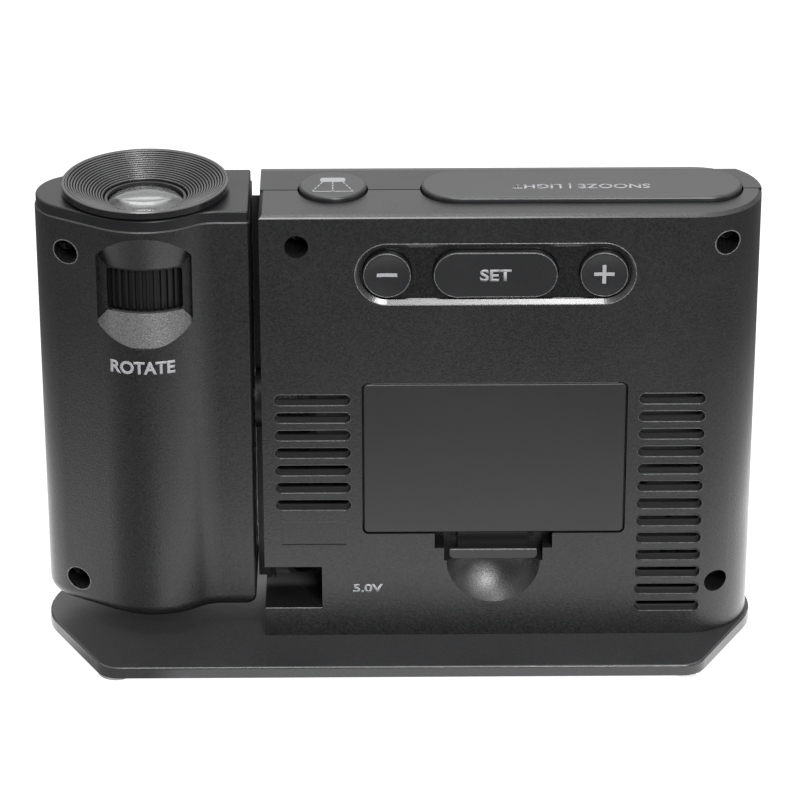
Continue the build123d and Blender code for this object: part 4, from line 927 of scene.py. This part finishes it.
def frame_of_lines(center, size, y, thickness):
    """Four rods around an upright rectangle."""
    left, right_side = center[0] - size[0] / 2, center[0] + size[0] / 2
    bottom, top = center[1] - size[1] / 2, center[1] + size[1] / 2
    corners = [(left, y, bottom), (right_side, y, bottom), (right_side, y, top), (left, y, top)]
    return joined([
        line_between(corners[k], corners[(k + 1) % 4], thickness) for k in range(4)
    ])


label = frame_of_lines(LABEL_PLACE, LABEL_SIZE, body_y - LABEL_SUNK, LABEL_LINE)
settle(label, "label_edge", "base", faint_edge_highlight)

socket = level_line(SOCKET_X, body_y - LINE / 2, SOCKET_Z, LINE)
settle(socket, "socket_edge", "base", strong_edge_highlight)

lower_lips = []
for x, width, count in VENTS:
    half = (width - VENT_HEIGHT) / 2
    for k in range(count):
        z = (VENT_TOP - k * VENT_PITCH - VENT_HEIGHT / 2) * MM
        lower_lips.append(level_line(((x - half) * MM, (x + half) * MM), body_y, z, LINE))
settle(joined(lower_lips), "vent_lips", "base", strong_edge_highlight)

cover_low, cover_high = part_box("battery_cover")
cover_x = (cover_low.x + COVER_END, cover_high.x - COVER_END)
cover_line = level_line(cover_x, body_y - COVER_SUNK, COVER_TOP, COVER_LINE)
settle(cover_line, "cover_edge", "battery_cover", faint_edge_highlight)

latch_line = level_line(LATCH_X, LATCH_Y, LATCH_Z, LATCH_LINE)
settle(latch_line, "latch_edge", "battery_cover", strong_edge_highlight)
print("cover line in mm:", round((cover_x[1] - cover_x[0]) / MM, 1))

# %% [markdown]
# Three screw holes open on curved faces, so their light rings are pressed on like the signs.
# A torus would stand off the curve, and a flat ring can be sliced and wrapped.
# Each ring is a flat disc with its middle deleted after an inset.

# %% Rings of the screw holes
HOLE_RADIUS = 2.7 * MM
RING_OUTSIDE = 0.28 * MM
RING_WIDTH = 0.22 * MM
RING_SQUARE = 0.8 * MM
CLEAR_Y = 30 * MM
HOLES = (
    ("arm_upper", 75.5, 100.75, "arm", "arm_rear_shell"),
    ("arm_lower", 75.5, 17.0, "arm", "arm_rear_shell"),
    ("right_upper", -73.9, 103.7, "base", "rear_shell"),
)
for name, x, z, body, node in HOLES:
    bpy.ops.mesh.primitive_circle_add(
        vertices=48, radius=HOLE_RADIUS + RING_OUTSIDE, fill_type="NGON",
        location=(x * MM, CLEAR_Y, z * MM), rotation=REAR_FACING)
    ring = fixed(bpy.context.object)
    bpy.ops.object.mode_set(mode="EDIT")
    bpy.ops.mesh.select_all(action="SELECT")
    bpy.ops.mesh.inset(thickness=RING_WIDTH)
    bpy.ops.mesh.delete(type="FACE")
    bpy.ops.object.mode_set(mode="OBJECT")
    wrapped(ring, node, RING_SQUARE)
    settle(ring, name + "_hole_edge", body, strong_edge_highlight)
print("hole rings:", len(HOLES))

# %% [markdown]
# The funnel around the lens steps down in fine round ribs.
# A texture of rings would stay flat, so each rib is a torus.
# They lie along the solid's own steps and show as thin light rings.

# %% Funnel ribs
RIBS = 14
RIM = (18.3 * MM, 113.9 * MM)
THROAT = (9.6 * MM, 110.0 * MM)
RIB_THICKNESS = 0.3 * MM
RIB_SUNK = 0.1 * MM

funnel = middle("focus_ring")
rings = []
for k in range(RIBS):
    share = (k + 0.5) / RIBS
    radius = RIM[0] + (THROAT[0] - RIM[0]) * share
    height = RIM[1] + (THROAT[1] - RIM[1]) * share
    bpy.ops.mesh.primitive_torus_add(
        location=(funnel.x, funnel.y, height - RIB_SUNK), major_radius=radius,
        minor_radius=RIB_THICKNESS, major_segments=96, minor_segments=10)
    bpy.ops.object.shade_smooth()
    rings.append(bpy.context.object)
settle(joined(rings), "funnel_rings", "focus_ring", ring_plastic)
print("funnel ribs:", RIBS)

# %% [markdown]
# The word on the arm stands below its wheel and follows the round shell.
# A flat word would cut into the curve, so it is sliced into small squares and wrapped on.

# %% Word on the round arm
ROTATE_SIZE = (14.8 * MM, 3.26 * MM)
ROTATE_PLACE = (58.5 * MM, CLEAR_Y, 75.15 * MM)
ROTATE_WEIGHT = 0.035
WORD_SQUARE = 0.4 * MM

word = typed("ROTATE", *ROTATE_SIZE, ROTATE_WEIGHT)
word.rotation_euler = REAR_FACING
word.location = ROTATE_PLACE
wrapped(fixed(word), "arm_rear_shell", WORD_SQUARE)
settle(word, "rotate_word", "arm", ink)
print("word pieces:", len(word.data.polygons))

# %% [markdown]
# The round top button shows a small projector and its beam, printed in lines.
# It could be drawn as a picture, but straight bars are enough and stay sharp.

# %% Projector sign
PEN = 0.3 * MM
DASHES = 4
LAMP_SIZE = (5.7 * MM, 2.4 * MM)
LAMP_ROUND = 0.7 * MM
LAMP_Y = -2.55 * MM
BEAM_START_X = 2.4 * MM
BEAM_START_Y = -1.1 * MM
SCREEN_HALF = 4.65 * MM
SCREEN_Y = 4.2 * MM


def stroke(start, end, width=PEN):
    """A straight printed line between two points on a flat face."""
    a = Vector(start)
    b = Vector(end)
    run = b - a
    place = (a + b) / 2
    return bar((run.length + width, width), (place.x, place.y, 0), math.atan2(run.y, run.x))


def dashes(start, end):
    """A broken line between two points."""
    a = Vector(start)
    step = (Vector(end) - a) / (2 * DASHES - 1)
    return [stroke(a + step * 2 * k, a + step * (2 * k + 1)) for k in range(DASHES)]


lamp_sign = bar(LAMP_SIZE, (0, LAMP_Y, 0))
bpy.ops.object.mode_set(mode="EDIT")
bpy.ops.mesh.select_all(action="SELECT")
bpy.ops.mesh.bevel(offset=LAMP_ROUND, segments=4, affect="VERTICES")
bpy.ops.object.mode_set(mode="OBJECT")
lines = [lamp_sign]
for side in (0, -1, 1):
    lines += dashes((side * BEAM_START_X, BEAM_START_Y), (side * SCREEN_HALF, SCREEN_Y))
lines.append(stroke((-SCREEN_HALF, SCREEN_Y), (SCREEN_HALF, SCREEN_Y)))
sign = joined(lines)
thicken(sign, INK_THICKNESS)
button = middle("projector_button")
sign.location = (button.x, button.y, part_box("projector_button")[1].z)
settle(sign, "projector_sign", "projector_button", ink)
print("projector sign lines:", len(lines))

# %% [markdown]
# The front display shows plain seven-part digits behind a dark window.
# A font would give its own letter shapes, and these digits have only seven bars.
# One bar has six corners: a circle of six points, stretched and made pointed.

# %% Digit tools
JOINT = 0.25
LIT_PARTS = {
    "0": "abcdef", "1": "bc", "2": "abged", "3": "abgcd", "4": "fgbc", "5": "afgcd", "6": "afgedc",
}
PART_PLACES = {
    "a": (0, 1, 0), "g": (0, 0, 0), "d": (0, -1, 0),
    "b": (0.5, 0.5, 1), "c": (0.5, -0.5, 1), "e": (-0.5, -0.5, 1), "f": (-0.5, 0.5, 1),
}


def segment(length, width):
    """One pointed bar of a digit, about the origin and along X."""
    bpy.ops.mesh.primitive_circle_add(vertices=6, radius=length / 2, fill_type="NGON")
    piece = bpy.context.object
    piece.rotation_euler.z = math.pi / 2
    fixed(piece)
    rise = max(v.co.y for v in piece.data.vertices)
    for v in piece.data.vertices:
        if abs(v.co.y) > rise / 2:
            v.co.x = math.copysign(length / 2 - width / 2, v.co.x)
            v.co.y = math.copysign(width / 2, v.co.y)
    return piece


def digit(figure, size, x, y):
    """The lit parts of one figure, about a place on a flat face."""
    width, height, pen = size
    parts = []
    for part in LIT_PARTS[figure]:
        across, along, upright = PART_PLACES[part]
        length = (height / 2 if upright else width) - pen * JOINT
        piece = segment(length, pen)
        piece.rotation_euler.z = upright * math.pi / 2
        piece.location = (x + across * width, y + along * height / 2, 0)
        parts.append(piece)
    return parts


def row(figures, places_mm, size, y):
    """Several figures side by side at one height."""
    parts = []
    for figure, x in zip(figures, places_mm):
        parts += digit(figure, size, x * MM, y)
    return parts


print("figures known:", len(LIT_PARTS))

# %% [markdown]
# The time stands in large figures over a thin line, with two small readings below it.
# What the real display shows is not in the photograph, so these figures are made up.

# %% Display digits
LARGE = (11.0 * MM, 25.0 * MM, 2.6 * MM)
SMALL = (4.2 * MM, 9.0 * MM, 1.1 * MM)
LARGE_Y = 9.0 * MM
SMALL_Y = -21.0 * MM
LARGE_DOT = (2.2 * MM, 2.2 * MM)
SMALL_DOT = (1.1 * MM, 1.1 * MM)
DIVIDER = (68.0 * MM, 0.4 * MM)
DIVIDER_Y = -11.0 * MM

glow_ink = speckled("lit_digits", (0.80, 0.84, 0.88), (0.90, 0.94, 0.98), 0.4, 2.0, 1.0,
                    more=(("Emission Color", (0.85, 0.92, 1.0, 1)), ("Emission Strength", 0.35)))
parts = row("1234", (-26.0, -9.5, 9.5, 26.0), LARGE, LARGE_Y)
parts += [bar(LARGE_DOT, (0, y * MM, 0)) for y in (4.0, 14.0)]
parts += row("215", (-30.0, -23.0, -14.0), SMALL, SMALL_Y)
parts.append(bar(SMALL_DOT, (-18.6 * MM, -25.5 * MM, 0)))
parts += row("630", (14.0, 23.0, 30.0), SMALL, SMALL_Y)
parts += [bar(SMALL_DOT, (18.4 * MM, y * MM, 0)) for y in (-23.2, -18.8)]
parts.append(bar(DIVIDER, (0, DIVIDER_Y, 0)))

panel = middle("display_panel")
digits = fixed(joined(parts))
thicken(digits, INK_THICKNESS)
digits.rotation_euler = (math.radians(90), 0, 0)
digits.location = (panel.x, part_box("display_panel")[0].y, panel.z)
settle(digits, "display_digits", "base", glow_ink)
print("digit parts:", len(parts))

# %% [markdown]
# The last cell notes the size of the solids and of the dressed clock.

# %% Sizes and finish
low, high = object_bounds()
